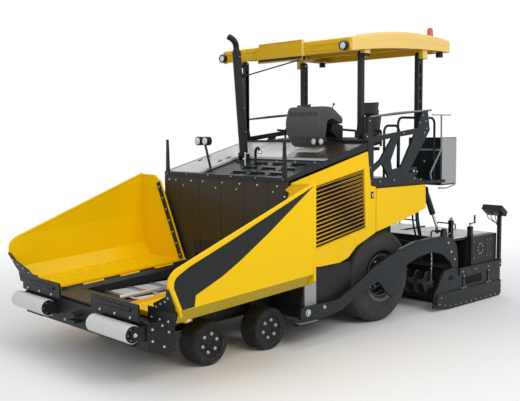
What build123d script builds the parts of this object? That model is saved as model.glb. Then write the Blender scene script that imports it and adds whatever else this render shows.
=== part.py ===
from build123d import *
from math import cos, radians, sin
import os

os.makedirs("parts", exist_ok=True)

# Wheeled asphalt paver, in millimetres. X is the machine's left, -Y its front, Z is up from the ground.
# The origin lies on the ground at the middle of the overall length and width.

# Overall places, front and rear reach from the rear axle
FRONT_REACH = 4185
REAR_REACH = 2742
AXLE_Y = (FRONT_REACH - REAR_REACH) / 2
SIDES = (("left", 1), ("right", -1))


def at(distance):
    """Y of a place that is known by its distance behind the rear axle."""
    return AXLE_Y + distance


# Rear wheels
REAR_TYRE_R = 623
REAR_TYRE_INNER_X = 700
REAR_TYRE_OUTER_X = 1075
REAR_RIM_R = 262
REAR_AXLE_R = 60
DRIVE_HOUSING_R = 185
DRIVE_HOUSING_END_X = 815
RIM_WELL_WALL = 22
RIM_DISC_THICK = 30

# Front wheels, two in a row on each side
FRONT_WHEEL_R = 250
FRONT_WHEEL_INNER_X = 755
FRONT_WHEEL_OUTER_X = 1024
FRONT_BOGIE_Y = at(-2491)
FRONT_WHEEL_PITCH = 912
FRONT_HUB_R = 165
SPINDLE_R = 35
KINGPIN_X = 700
KINGPIN_R = 28
KINGPIN_HOUSING_R = 46
BOGIE_THICK = 65
BOGIE_LOW_Z = 420
BOGIE_HIGH_Z = 550

# Running fits and gaps
PIN_GAP = 0.5
SLIDE_GAP = 5

# Frame
FRAME_HALF = 600
FRAME_PLATE = 30
FRAME_FRONT_Y = at(-3790)
FRAME_REAR_Y = at(800)
FRAME_LOW_Z = 330
FRAME_HIGH_Z = 640
ENGINE_BAY_FRONT_Y = at(-1880)
TUNNEL_ROOF_Z = 1180
PLATE = 20

# Hopper
FLOOR_SLOPE = 3.66  # degrees, the floor and the wings climb towards the rear
HINGE_X = 645
HINGE_FRONT_Y = at(-3814)
HINGE_FRONT_Z = 735
HINGE_R = 26
HINGE_PIN_R = 18
WING_FRONT_Y = at(-3967)
WING_REAR_Y = at(-1950)
WING_OUTER_X = 1675
WING_WALL = 30
WING_FLOOR = 60
WING_TOP_REAR_Z = 1992
WING_TOP_FRONT_Z = 1235
BACK_WALL_Y = at(-1915)
BACK_WALL_THICK = 30
BACK_WALL_HIGH_Z = 1985

# Conveyors
CONVEYOR_FRONT_Y = at(-3480)
CONVEYOR_REAR_Y = at(720)
CONVEYOR_FRONT_Z = 560
CONVEYOR_REAR_Z = 640
CONVEYOR_END_R = 95
CONVEYOR_BAND = 14
FLIGHT_BARS = 13

# Wing cylinders
WING_CYL_Y = at(-3500)
WING_CYL_X = 655
WING_CYL_DROP = 300  # below the hinge line
WING_CYL_PIN_R = 18
WING_EYE_X = 1300
WING_EYE_DROP = 100
WING_EYE_PIN_R = 15

# Hood
HOOD_HALF = 1185
HOOD_FRONT_Z = 2030
HOOD_REAR_Y = at(-460)
HOOD_REAR_Z = 2417
HOOD_SKIN = 25
DECK_REAR_Y = at(-1160)
DECK_FAR_X = -500
DECK_DROP = 35
DECK_LAMP_X = -440
DECK_LAMP_Y = at(-1700)
DOOR_THICK = 25
DOOR_X = 1192
DOOR_GAP = 7
DOOR_HINGE_X = 1202
DOOR_HINGE_Y = at(-1884)
DOOR_HINGE_HEIGHTS = (1100, 1800)
DOOR_PIN_R = 8
DOOR_FRONT_Y = at(-1862)

# Operator platform
PLATFORM_Z = 1870
PLATFORM_THICK = 40
PLATFORM_REAR_Y = at(1300)
SIDE_FRAME_X = 1155
SIDE_FRAME_THICK = 30
POST_X = 1090
POST_WIDE = 60
POST_LENGTH = 1050
FRONT_POST_Y = at(-480)
FRONT_POST_Z = 2500
REAR_POST_Y = at(760)
REAR_POST_Z = 2540
POST_PIN_R = 18

# Canopy
CANOPY_HALF = 1233
CANOPY_FRONT_Y = at(-830)
CANOPY_REAR_Y = at(1330)
CANOPY_LOW_Z = 3560
CANOPY_SKIN = 40

BEACON_X = 1010
BEACON_Y = at(1130)
BEACON_Z = 3866
FRONT_LAMP_X = CANOPY_HALF - 90
REAR_LAMP_X = CANOPY_HALF - CANOPY_SKIN - 78
REAR_LAMP_Y = CANOPY_REAR_Y - CANOPY_SKIN - 78
REAR_LAMP_Z = 3670

# Exhaust
EXHAUST_X = -300
EXHAUST_Y = at(-1245)
EXHAUST_RISE = 85  # foot hinge over the deck
EXHAUST_LEAN = 5  # degrees towards the front
EXHAUST_R = 58
EXHAUST_EYE_WIDE = 110
EXHAUST_PIN_R = 14
LINK_EYE_X = -272  # eye of the canopy's link beside the lug on the stack
LINK_EYE_R = 22
LINK_PIN_R = 9

# Push beam and rollers
ROLLER_Y = at(-4090)
ROLLER_Z = 591
ROLLER_R = 95
ROLLER_INNER_X = 481
ROLLER_OUTER_X = 1211
ROLLER_PIN_R = 25
BEAM_FRONT_Y = at(-3985)
BEAM_REAR_Y = at(-3880)
BEAM_HALF = 1050
BEAM_LOW_Z = 420
BEAM_HIGH_Z = 690
TOW_PIN_R = 20

# Screed and its tow arms
TOW_Y = at(-1630)
TOW_Z = 411
TOW_PIN_ARM_R = 30
ARM_INNER_X = 1205
ARM_THICK = 45
SCREED_HALF = 1195
SCREED_FRONT_Y = at(1420)
SCREED_REAR_Y = at(1890)
SCREED_LOW_Z = 15
SCREED_HIGH_Z = 985
SCREED_WALL = 30
EXTENSION_FRONT_Y = at(1905)
EXTENSION_REAR_Y = at(2610)
EXTENSION_INNER_X = 60
EXTENSION_OUTER_X = 1255
GUIDE_TUBE_R = 70
GUIDE_TUBE_Y = at(2080)
GUIDE_TUBE_Z = 480
GATE_OUTER_X = 1304
CONTROL_POST_Y = at(2655)
CONTROL_X = 1200
CONTROL_Z = 1330
CONTROL_WIDE = 330
CONTROL_TALL = 200
CONTROL_THICK = 80
CONTROL_TILT = 34
control_reach = CONTROL_TALL / 2 * cos(radians(CONTROL_TILT)) + CONTROL_THICK / 2 * sin(radians(CONTROL_TILT))
CONTROL_Y = at(REAR_REACH) - control_reach
AUGER_Y = at(1105)
AUGER_Z = 370
AUGER_R = 180
AUGER_SHAFT_R = 45
AUGER_INNER_X = 90
AUGER_OUTER_X = 1150
LIFT_X = 1130
LIFT_TOP_Y = at(880)
LIFT_TOP_Z = 1745
LIFT_EYE_Y = at(1220)
LIFT_EYE_Z = 1130
LIFT_BARREL_R = 42
LIFT_ROD_R = 20


def finish(builder, label):
    """Name a finished piece and write it."""
    builder.part.label = label
    export_step(builder.part, f"parts/{label}.step")


def side_plane(x):
    """Plane whose sketch coordinates are the machine's Y and Z, at a given X, normal +X."""
    return Plane(origin=(x, 0, 0), x_dir=(0, 1, 0), z_dir=(1, 0, 0))


def front_plane(y):
    """Plane whose sketch coordinates are the machine's X and Z, at a given Y, normal -Y."""
    return Plane(origin=(0, y, 0), x_dir=(1, 0, 0), z_dir=(0, -1, 0))


def wheel_plane(sign, x, y, z):
    """Plane across a wheel's axle whose normal points outwards from the machine."""
    return Plane(origin=(sign * x, y, z), x_dir=(0, 1, 0), z_dir=(sign, 0, 0))


# The wings' hinge line climbs to the rear. In its frame the sketch X is the machine's X, the sketch Y points down
# square to the floor, and the normal runs along the hinge.
slope = radians(FLOOR_SLOPE)
hinge_length = (WING_REAR_Y - HINGE_FRONT_Y) / cos(slope)
floor_frame = Plane(
    origin=(0, HINGE_FRONT_Y, HINGE_FRONT_Z),
    x_dir=(1, 0, 0),
    z_dir=(0, cos(slope), sin(slope)),
)
wing_cyl_frame = floor_frame.offset((WING_CYL_Y - HINGE_FRONT_Y) / cos(slope))


def hopper_section(sign, points):
    """Turn (x, height over the hinge line) into sketch points on the sloped frame."""
    return [(sign * x, -height) for x, height in points]


def wing_cyl_point(x, drop):
    """Place in the wing cylinders' plane, by its drop below the hinge line."""
    return wing_cyl_frame.from_local_coords(Vector(x, drop, 0))


# Rear wheels: a tyre with a round shoulder and a dished rim on the final drive's shaft
for side, sign in SIDES:
    tyre_width = REAR_TYRE_OUTER_X - REAR_TYRE_INNER_X
    axle_plane = wheel_plane(sign, REAR_TYRE_INNER_X, AXLE_Y, REAR_TYRE_R)
    shoulder = 70
    with BuildPart(axle_plane) as rear_tyre:
        with BuildSketch(axle_plane):
            Circle(REAR_TYRE_R)
            Circle(REAR_RIM_R, mode=Mode.SUBTRACT)
        extrude(amount=tyre_width)
        fillet(rear_tyre.edges().filter_by(GeomType.CIRCLE).filter_by(lambda e: e.radius > REAR_TYRE_R - 1), shoulder)
        fillet(rear_tyre.edges().filter_by(GeomType.CIRCLE).filter_by(lambda e: e.radius < REAR_RIM_R + 1), 25)
    finish(rear_tyre, f"rear_tyre_{side}")

    disc_x = 175  # centre disc, from the tyre's inner face
    with BuildPart() as rear_rim:
        with BuildSketch(axle_plane):
            Circle(REAR_RIM_R)
            Circle(REAR_RIM_R - RIM_WELL_WALL, mode=Mode.SUBTRACT)
        extrude(amount=tyre_width)
        with BuildSketch(axle_plane.offset(disc_x)):
            Circle(REAR_RIM_R)
            Circle(REAR_AXLE_R + PIN_GAP, mode=Mode.SUBTRACT)
        extrude(amount=RIM_DISC_THICK)
        with BuildSketch(axle_plane.offset(disc_x + RIM_DISC_THICK)):
            Circle(120)
            Circle(REAR_AXLE_R + PIN_GAP, mode=Mode.SUBTRACT)
        extrude(amount=40)
    finish(rear_rim, f"rear_rim_{side}")

# Front wheels: solid rubber tyre and hub, on spindles carried by steered knuckles
FRONT_PLACES = (("front", -FRONT_WHEEL_PITCH / 2), ("back", FRONT_WHEEL_PITCH / 2))
for side, sign in SIDES:
    for row, offset_y in FRONT_PLACES:
        wheel_y = FRONT_BOGIE_Y + offset_y
        width = FRONT_WHEEL_OUTER_X - FRONT_WHEEL_INNER_X
        hub_plane = wheel_plane(sign, FRONT_WHEEL_INNER_X, wheel_y, FRONT_WHEEL_R)
        with BuildPart() as front_wheel:
            with BuildSketch(hub_plane):
                Circle(FRONT_WHEEL_R)
            extrude(amount=width)
            fillet(front_wheel.edges().filter_by(GeomType.CIRCLE), 18)
            with BuildSketch(hub_plane.offset(width)):
                Circle(FRONT_HUB_R)
            extrude(amount=-22, mode=Mode.SUBTRACT)
            with BuildSketch(hub_plane):
                Circle(FRONT_HUB_R)
            extrude(amount=60, mode=Mode.SUBTRACT)
            with BuildSketch(hub_plane):
                Circle(SPINDLE_R + PIN_GAP)
            extrude(amount=width - 60, mode=Mode.SUBTRACT)
            with BuildSketch(hub_plane.offset(width - 22)):
                with PolarLocations(100, 6):
                    Circle(11)
            extrude(amount=12)
        finish(front_wheel, f"front_wheel_{side}_{row}")

        with BuildPart() as knuckle:
            with BuildSketch(Plane(origin=(sign * KINGPIN_X, wheel_y, FRONT_WHEEL_R - 55))):
                Rectangle(80, 90)
            extrude(amount=130)
            with BuildSketch(Plane(origin=(sign * KINGPIN_X, wheel_y, FRONT_WHEEL_R + 75))):
                Circle(KINGPIN_R)
            extrude(amount=BOGIE_HIGH_Z + 30 - FRONT_WHEEL_R - 75)
            with BuildSketch(Plane(origin=(sign * KINGPIN_X, wheel_y, BOGIE_HIGH_Z + SLIDE_GAP))):
                Circle(KINGPIN_HOUSING_R)
            extrude(amount=20)
            with BuildSketch(wheel_plane(sign, KINGPIN_X, wheel_y, FRONT_WHEEL_R)):
                Circle(SPINDLE_R)
            extrude(amount=FRONT_WHEEL_OUTER_X - KINGPIN_X - 62)
        finish(knuckle, f"knuckle_{side}_{row}")

# Bogie beams: one on each side, with a kingpin housing at each end
with BuildPart() as bogie_beams:
    for side, sign in SIDES:
        inner_x = FRAME_HALF if sign > 0 else -FRAME_HALF - BOGIE_THICK
        half = FRONT_WHEEL_PITCH / 2
        with BuildSketch(side_plane(inner_x)):
            with BuildLine():
                Polyline(
                    (FRONT_BOGIE_Y - half - 40, BOGIE_LOW_Z),
                    (FRONT_BOGIE_Y + half + 40, BOGIE_LOW_Z),
                    (FRONT_BOGIE_Y + half + 40, BOGIE_HIGH_Z),
                    (FRONT_BOGIE_Y + half - 70, BOGIE_HIGH_Z),
                    (FRONT_BOGIE_Y + 120, BOGIE_HIGH_Z + 60),
                    (FRONT_BOGIE_Y - 120, BOGIE_HIGH_Z + 60),
                    (FRONT_BOGIE_Y - half + 70, BOGIE_HIGH_Z),
                    (FRONT_BOGIE_Y - half - 40, BOGIE_HIGH_Z),
                    close=True,
                )
            make_face()
        extrude(amount=BOGIE_THICK)
        for row, offset_y in FRONT_PLACES:
            with BuildSketch(Plane(origin=(sign * KINGPIN_X, FRONT_BOGIE_Y + offset_y, BOGIE_LOW_Z))):
                Circle(KINGPIN_HOUSING_R)
            extrude(amount=BOGIE_HIGH_Z - BOGIE_LOW_Z)
            with BuildSketch(Plane(origin=(sign * KINGPIN_X, FRONT_BOGIE_Y + offset_y, 0))):
                Circle(KINGPIN_R + PIN_GAP)
            extrude(amount=BOGIE_HIGH_Z + 100, mode=Mode.SUBTRACT)
finish(bogie_beams, "bogie_beams")

# Main frame: side plates, cross members, tunnel roof, tanks, tow brackets and final drives
TANK_FRONT_Y = at(-1395)
TANK_REAR_Y = at(-745)
TANK_OUTER_X = 1150
with BuildPart() as main_frame:
    for side, sign in SIDES:
        plate_x = FRAME_HALF - FRAME_PLATE if sign > 0 else -FRAME_HALF
        with BuildSketch(side_plane(plate_x)):
            with BuildLine():
                Polyline(
                    (FRAME_FRONT_Y, FRAME_LOW_Z + 60),
                    (FRAME_FRONT_Y + 200, FRAME_LOW_Z),
                    (FRAME_REAR_Y - 200, FRAME_LOW_Z + 60),
                    (FRAME_REAR_Y, FRAME_LOW_Z + 260),
                    (FRAME_REAR_Y, PLATFORM_Z - PLATFORM_THICK),
                    (HOOD_REAR_Y, PLATFORM_Z - PLATFORM_THICK),
                    (HOOD_REAR_Y - 60, TUNNEL_ROOF_Z + PLATE),
                    (ENGINE_BAY_FRONT_Y, TUNNEL_ROOF_Z + PLATE),
                    (ENGINE_BAY_FRONT_Y, FRAME_HIGH_Z + 100),
                    (FRAME_FRONT_Y, FRAME_HIGH_Z),
                    close=True,
                )
            make_face()
        extrude(amount=FRAME_PLATE)
        # Tank box beside the engine bay, and the arm that carries the tow point
        box_x = FRAME_HALF if sign > 0 else -TANK_OUTER_X
        with BuildSketch(side_plane(box_x)):
            with BuildLine():
                Polyline(
                    (TANK_FRONT_Y, 470),
                    (TANK_REAR_Y, 470),
                    (TANK_REAR_Y, 925),
                    (TANK_FRONT_Y, 925),
                    close=True,
                )
            make_face()
        extrude(amount=TANK_OUTER_X - FRAME_HALF)
        bracket_x = FRAME_HALF if sign > 0 else -TANK_OUTER_X
        with BuildSketch(side_plane(bracket_x)):
            with BuildLine():
                Polyline(
                    (TOW_Y - 25, 330),
                    (TOW_Y + 60, 330),
                    (TANK_FRONT_Y, 470),
                    (TANK_FRONT_Y, 700),
                    (TOW_Y + 30, 700),
                    (TOW_Y - 25, 500),
                    close=True,
                )
            make_face()
        extrude(amount=TANK_OUTER_X - FRAME_HALF)
        with BuildSketch(wheel_plane(sign, TANK_OUTER_X - 5, TOW_Y, TOW_Z)):
            Circle(TOW_PIN_ARM_R + 22)
        extrude(amount=ARM_INNER_X - SLIDE_GAP - TANK_OUTER_X + 5)
        with BuildSketch(wheel_plane(sign, ARM_INNER_X - SLIDE_GAP, TOW_Y, TOW_Z)):
            Circle(TOW_PIN_ARM_R)
        extrude(amount=ARM_THICK + SLIDE_GAP + 12)
        # Ears and pin for the wing cylinder
        for ear_start in (-51, 36):
            with BuildSketch(wing_cyl_frame.offset(ear_start)):
                with Locations((sign * (FRAME_HALF + 55), WING_CYL_DROP)):
                    Rectangle(112, 90)
            extrude(amount=15)
        with BuildSketch(wing_cyl_frame.offset(-40)):
            with Locations((sign * WING_CYL_X, WING_CYL_DROP)):
                Circle(WING_CYL_PIN_R)
        extrude(amount=80)
        # Final drive housing and shaft
        with BuildSketch(wheel_plane(sign, FRAME_HALF - FRAME_PLATE, AXLE_Y, REAR_TYRE_R)):
            Circle(DRIVE_HOUSING_R)
        extrude(amount=DRIVE_HOUSING_END_X - FRAME_HALF + FRAME_PLATE)
        with BuildSketch(wheel_plane(sign, DRIVE_HOUSING_END_X, AXLE_Y, REAR_TYRE_R)):
            Circle(REAR_AXLE_R)
        extrude(amount=REAR_TYRE_INNER_X + 250 - DRIVE_HOUSING_END_X)
    # Cross members below the conveyors, tunnel roof and divider, rear plate
    for member_y in (FRAME_FRONT_Y + 260, at(-2491), at(-1500), at(-500), at(450)):
        with BuildSketch(Plane(origin=(0, member_y, 390))):
            Rectangle(2 * FRAME_HALF - FRAME_PLATE, 120)
        extrude(amount=30)
    roof_front = ENGINE_BAY_FRONT_Y
    roof_rear = FRAME_REAR_Y
    with BuildSketch(Plane(origin=(0, (roof_front + roof_rear) / 2, TUNNEL_ROOF_Z))):
        Rectangle(2 * FRAME_HALF - FRAME_PLATE, roof_rear - roof_front)
    extrude(amount=PLATE)
    with BuildSketch(Plane(origin=(0, FRAME_REAR_Y - PLATE / 2, TUNNEL_ROOF_Z))):
        Rectangle(2 * FRAME_HALF, PLATE)
    extrude(amount=PLATFORM_Z - PLATFORM_THICK - TUNNEL_ROOF_Z)
    # Drums and shafts that the two conveyors run round
    for drum_y, drum_z in ((CONVEYOR_FRONT_Y, CONVEYOR_FRONT_Z), (CONVEYOR_REAR_Y, CONVEYOR_REAR_Z)):
        with BuildSketch(side_plane(-FRAME_HALF + FRAME_PLATE - 5)):
            with Locations((drum_y, drum_z)):
                Circle(35)
        extrude(amount=2 * (FRAME_HALF - FRAME_PLATE + 5))
        with BuildSketch(side_plane(-500)):
            with Locations((drum_y, drum_z)):
                Circle(CONVEYOR_END_R - CONVEYOR_BAND - 0.3)
        extrude(amount=1000)
finish(main_frame, "main_frame")

# Engine, one plain block on the tunnel roof
with BuildPart() as engine_block:
    with BuildSketch(Plane(origin=(0, at(-1100), TUNNEL_ROOF_Z + PLATE))):
        Rectangle(800, 1050)
    extrude(amount=680)
finish(engine_block, "engine_block")

# Hopper floor between the wing hinges: it climbs to the rear, with hinge pins along both edges
HINGE_KNUCKLES = ((0.02, 0.14), (0.30, 0.42), (0.58, 0.70), (0.86, 0.98))  # as shares of the hinge line
with BuildPart() as hopper_floor:
    for side, sign in SIDES:
        # Inclined guide plate from the hinge down to the conveyor's edge
        with BuildSketch(floor_frame.offset(40)):
            Polygon(
                *hopper_section(
                    sign,
                    [(FRAME_HALF - 60, -25), (HINGE_X - HINGE_R - 12, 12), (HINGE_X - HINGE_R - 12, -30),
                     (FRAME_HALF - FRAME_PLATE, -95), (FRAME_HALF - FRAME_PLATE, -125), (FRAME_HALF - 60, -125)],
                ),
                align=None,
            )
        extrude(amount=hinge_length - 40)
        with BuildSketch(floor_frame):
            with Locations((sign * HINGE_X, 0)):
                Circle(HINGE_PIN_R)
        extrude(amount=hinge_length)
        for start, end in HINGE_KNUCKLES:
            with BuildSketch(floor_frame.offset(start * hinge_length)):
                with Locations((sign * HINGE_X, 0)):
                    Circle(HINGE_R)
                Polygon(
                    *hopper_section(
                        sign,
                        [(HINGE_X - HINGE_R - 14, 10), (HINGE_X, 10), (HINGE_X, -10), (HINGE_X - HINGE_R - 14, -30)],
                    ),
                    align=None,
                )
            extrude(amount=(end - start) * hinge_length)
    # Front apron plate between the wings, tilted up towards the front
    with BuildSketch(side_plane(-FRAME_HALF - 10)):
        with BuildLine():
            Polyline(
                (at(-3950), 700),
                (at(-3950), 722),
                (at(-3700), 752),
                (at(-3560), 725),
                (at(-3560), 700),
                close=True,
            )
        make_face()
    extrude(amount=2 * FRAME_HALF + 20)
finish(hopper_floor, "hopper_floor")

# Conveyors: two closed loops of slats side by side, each one fixed band
with BuildPart() as conveyors:
    for side, sign in SIDES:
        inner_x = 25 if sign > 0 else -520
        with BuildSketch(side_plane(inner_x)) as loop:
            with BuildLine():
                Line((CONVEYOR_FRONT_Y, CONVEYOR_FRONT_Z + CONVEYOR_END_R),
                     (CONVEYOR_REAR_Y, CONVEYOR_REAR_Z + CONVEYOR_END_R))
                ThreePointArc((CONVEYOR_REAR_Y, CONVEYOR_REAR_Z + CONVEYOR_END_R),
                              (CONVEYOR_REAR_Y + CONVEYOR_END_R, CONVEYOR_REAR_Z),
                              (CONVEYOR_REAR_Y, CONVEYOR_REAR_Z - CONVEYOR_END_R))
                Line((CONVEYOR_REAR_Y, CONVEYOR_REAR_Z - CONVEYOR_END_R),
                     (CONVEYOR_FRONT_Y, CONVEYOR_FRONT_Z - CONVEYOR_END_R))
                ThreePointArc((CONVEYOR_FRONT_Y, CONVEYOR_FRONT_Z - CONVEYOR_END_R),
                              (CONVEYOR_FRONT_Y - CONVEYOR_END_R, CONVEYOR_FRONT_Z),
                              (CONVEYOR_FRONT_Y, CONVEYOR_FRONT_Z + CONVEYOR_END_R))
            make_face()
            offset(amount=-CONVEYOR_BAND, mode=Mode.SUBTRACT)
        extrude(amount=495)
        # Flight bars across the band, on the upper and the lower run
        run = CONVEYOR_REAR_Y - CONVEYOR_FRONT_Y
        climb = CONVEYOR_REAR_Z - CONVEYOR_FRONT_Z
        for index in range(FLIGHT_BARS):
            share = (index + 0.5) / FLIGHT_BARS
            bar_y = CONVEYOR_FRONT_Y + share * run
            bar_z = CONVEYOR_FRONT_Z + share * climb
            for reach in (CONVEYOR_END_R + 8, -CONVEYOR_END_R - 8):
                with BuildSketch(side_plane(inner_x + 10)):
                    with Locations((bar_y, bar_z + reach)):
                        Rectangle(45, 20)
                extrude(amount=475)
finish(conveyors, "conveyors")

# Push beam: box beam, roller brackets, corner boxes, deflector plates and tow jaw
with BuildPart() as push_beam:
    with BuildSketch(side_plane(-BEAM_HALF)):
        with BuildLine():
            Polyline(
                (BEAM_FRONT_Y, BEAM_LOW_Z),
                (BEAM_REAR_Y, BEAM_LOW_Z),
                (FRAME_FRONT_Y, BEAM_LOW_Z + 60),
                (FRAME_FRONT_Y, BEAM_HIGH_Z),
                (BEAM_FRONT_Y, BEAM_HIGH_Z),
                close=True,
            )
        make_face()
    extrude(amount=2 * BEAM_HALF)
    for side, sign in SIDES:
        corner_x = 900 if sign > 0 else -1270
        with BuildSketch(side_plane(corner_x)):
            with BuildLine():
                Polyline(
                    (at(-3960), BEAM_HIGH_Z),
                    (at(-3960), 400),
                    (at(-3720), 320),
                    (at(-3620), 360),
                    (at(-3620), BEAM_HIGH_Z - 40),
                    (at(-3700), BEAM_HIGH_Z),
                    close=True,
                )
            make_face()
        extrude(amount=370)
        # Roller brackets and the fixed pin that each roller turns on
        for bracket_x in (ROLLER_INNER_X - 8 - 24, ROLLER_OUTER_X + 8):
            place_x = bracket_x if sign > 0 else -bracket_x - 24
            with BuildSketch(side_plane(place_x)):
                with BuildLine():
                    Polyline(
                        (ROLLER_Y - 40, ROLLER_Z - 45),
                        (BEAM_FRONT_Y + 30, ROLLER_Z - 90),
                        (BEAM_FRONT_Y + 30, ROLLER_Z + 75),
                        (ROLLER_Y - 40, ROLLER_Z + 45),
                        close=True,
                    )
                make_face()
            extrude(amount=24)
        with BuildSketch(wheel_plane(sign, ROLLER_INNER_X - 25, ROLLER_Y, ROLLER_Z)):
            Circle(ROLLER_PIN_R)
        extrude(amount=ROLLER_OUTER_X - ROLLER_INNER_X + 50)
        # Upright deflector plate over each roller
        plate_x = 340 if sign > 0 else -1215
        with BuildSketch(side_plane(plate_x)):
            with BuildLine():
                Polyline(
                    (at(-4028), 702),
                    (at(-4008), BEAM_HIGH_Z),
                    (at(-3958), BEAM_HIGH_Z),
                    (at(-3958), 702),
                    (at(-4000), 722),
                    (at(-4010), 878),
                    (at(-4028), 878),
                    close=True,
                )
            make_face()
        extrude(amount=875)
    # Tow jaw: two plates with one upright pin hole
    for jaw_z in (500, 570):
        with BuildSketch(Plane(origin=(0, BEAM_FRONT_Y - 40, jaw_z))):
            Rectangle(150, 110)
            with Locations((0, -15)):
                Circle(TOW_PIN_R, mode=Mode.SUBTRACT)
        extrude(amount=25)
finish(push_beam, "push_beam")

for side, sign in SIDES:
    with BuildPart() as push_roller:
        with BuildSketch(wheel_plane(sign, ROLLER_INNER_X, ROLLER_Y, ROLLER_Z)):
            Circle(ROLLER_R)
            Circle(ROLLER_PIN_R + PIN_GAP, mode=Mode.SUBTRACT)
        extrude(amount=ROLLER_OUTER_X - ROLLER_INNER_X)
        fillet(push_roller.edges().filter_by(GeomType.CIRCLE).filter_by(lambda e: e.radius > ROLLER_R - 1), 8)
    finish(push_roller, f"push_roller_{side}")

# Hopper wings: floor and side wall in one bent section along the sloped hinge, cut to the outline, rear wall
WING_SECTION = (  # x from the middle, height over the hinge line
    (HINGE_X + HINGE_R + 14, 30),
    (1440, 30),
    (1590, 175),
    (WING_OUTER_X - WING_WALL, 560),
    (WING_OUTER_X - WING_WALL, 1300),
    (WING_OUTER_X, 1300),
    (WING_OUTER_X, 440),
    (1660, 125),
    (1550, -15),
    (HINGE_X + HINGE_R + 14, -30),
)
WING_OUTLINE = (  # y and z of the side view
    (at(-3840), 600),
    (at(-3815), 717),
    (at(-3855), 855),
    (at(-3975), 1105),
    (at(-3967), 1190),
    (at(-3900), 1255),
    (WING_REAR_Y, WING_TOP_REAR_Z),
    (WING_REAR_Y, 600),
)
WING_REAR_WALL = (  # x and z of the upright rear wall
    (WING_OUTER_X - 5, 900),
    (WING_OUTER_X - 5, WING_TOP_REAR_Z - 5),
    (1345, WING_TOP_REAR_Z - 12),
    (1215, 1900),
    (700, 860),
    (HINGE_X + HINGE_R + 20, 838),
    (1550, 830),
)
wing_reach = hinge_length + 400
for side, sign in SIDES:
    with BuildPart() as wing:
        with BuildSketch(floor_frame.offset(-250)):
            Polygon(*hopper_section(sign, WING_SECTION), align=None)
        extrude(amount=wing_reach)
        with BuildSketch(side_plane(-2000)):
            with BuildLine():
                Polyline(*WING_OUTLINE, close=True)
            make_face()
        extrude(amount=4000, mode=Mode.INTERSECT)
        with BuildSketch(front_plane(WING_REAR_Y)):
            with BuildLine():
                Polyline(*[(sign * x, z) for x, z in WING_REAR_WALL], close=True)
            make_face()
        extrude(amount=WING_WALL)
        # Hinge barrels between the floor's knuckles
        for (_, start), (end, _) in zip(HINGE_KNUCKLES[:-1], HINGE_KNUCKLES[1:]):
            gap = SLIDE_GAP / hinge_length
            with BuildSketch(floor_frame.offset((start + gap) * hinge_length)):
                with Locations((sign * HINGE_X, 0)):
                    Circle(HINGE_R)
                Polygon(
                    *hopper_section(sign, [(HINGE_X, 25), (HINGE_X + HINGE_R + 30, 30),
                                           (HINGE_X + HINGE_R + 30, -28), (HINGE_X, -25)]),
                    align=None,
                )
                with Locations((sign * HINGE_X, 0)):
                    Circle(HINGE_PIN_R + PIN_GAP, mode=Mode.SUBTRACT)
            extrude(amount=(end - start - 2 * gap) * hinge_length)
        # Ears below the floor on both sides of the rod's eye, with the pin's heads outside; no pin joins them,
        # since the linkage is opened here
        for ear_start, head_start in ((-46, -54), (31, 46)):
            with BuildSketch(wing_cyl_frame.offset(ear_start)):
                with Locations((sign * WING_EYE_X, WING_EYE_DROP - 35)):
                    Rectangle(70, 110)
            extrude(amount=15)
            with BuildSketch(wing_cyl_frame.offset(head_start)):
                with Locations((sign * WING_EYE_X, WING_EYE_DROP)):
                    Circle(WING_EYE_PIN_R + 6)
            extrude(amount=8)
    finish(wing, f"wing_{side}")

# Wing cylinders: barrel on the frame, rod to the wing's underside
CYL_R = 36
CYL_ROD_R = 20
for side, sign in SIDES:
    root = wing_cyl_point(sign * WING_CYL_X, WING_CYL_DROP)
    run = wing_cyl_point(sign * WING_EYE_X, WING_EYE_DROP) - root
    aim = run.normalized()
    with BuildPart() as wing_barrel:
        with BuildSketch(Plane(origin=root + aim * 30, x_dir=floor_frame.z_dir, z_dir=aim)):
            Circle(CYL_R)
            Circle(CYL_ROD_R + PIN_GAP, mode=Mode.SUBTRACT)
        extrude(amount=450)
        with BuildSketch(wing_cyl_frame.offset(-30)):
            with Locations((sign * WING_CYL_X, WING_CYL_DROP)):
                Circle(42)
                Circle(WING_CYL_PIN_R + PIN_GAP, mode=Mode.SUBTRACT)
        extrude(amount=60)
    finish(wing_barrel, f"wing_barrel_{side}")
    with BuildPart() as wing_rod:
        with BuildSketch(Plane(origin=root + aim * 150, x_dir=floor_frame.z_dir, z_dir=aim)):
            Circle(CYL_ROD_R)
        extrude(amount=run.length - 150 - 25)
        for half_width, eye_r in ((25, 34), (28, WING_EYE_PIN_R)):
            with BuildSketch(wing_cyl_frame.offset(-half_width)):
                with Locations((sign * WING_EYE_X, WING_EYE_DROP)):
                    Circle(eye_r)
            extrude(amount=2 * half_width)
    finish(wing_rod, f"wing_rod_{side}")

# Hopper back wall with two tunnel mouths at its foot
with BuildPart() as hopper_back_wall:
    with BuildSketch(front_plane(BACK_WALL_Y + BACK_WALL_THICK)):
        with BuildLine():
            Polyline(
                (-HOOD_HALF, BACK_WALL_HIGH_Z),
                (-HOOD_HALF, 960),
                (-FRAME_HALF, 840),
                (FRAME_HALF, 840),
                (HOOD_HALF, 960),
                (HOOD_HALF, BACK_WALL_HIGH_Z),
                close=True,
            )
        make_face()
        for sign in (1, -1):
            with Locations((sign * 290, 840 + 160)):
                Rectangle(500, 322, mode=Mode.SUBTRACT)
    extrude(amount=BACK_WALL_THICK)
    # Lugs and pins for the side doors
    for side, sign in SIDES:
        for hinge_z in DOOR_HINGE_HEIGHTS:
            for lug_z in (hinge_z - 60, hinge_z + 40):
                with BuildSketch(Plane(origin=(sign * (DOOR_HINGE_X - 17), DOOR_HINGE_Y - 5, lug_z))):
                    Rectangle(50, 22)
                extrude(amount=20)
            with BuildSketch(Plane(origin=(sign * DOOR_HINGE_X, DOOR_HINGE_Y, hinge_z - 60))):
                Circle(DOOR_PIN_R)
            extrude(amount=120)
finish(hopper_back_wall, "hopper_back_wall")

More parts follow.
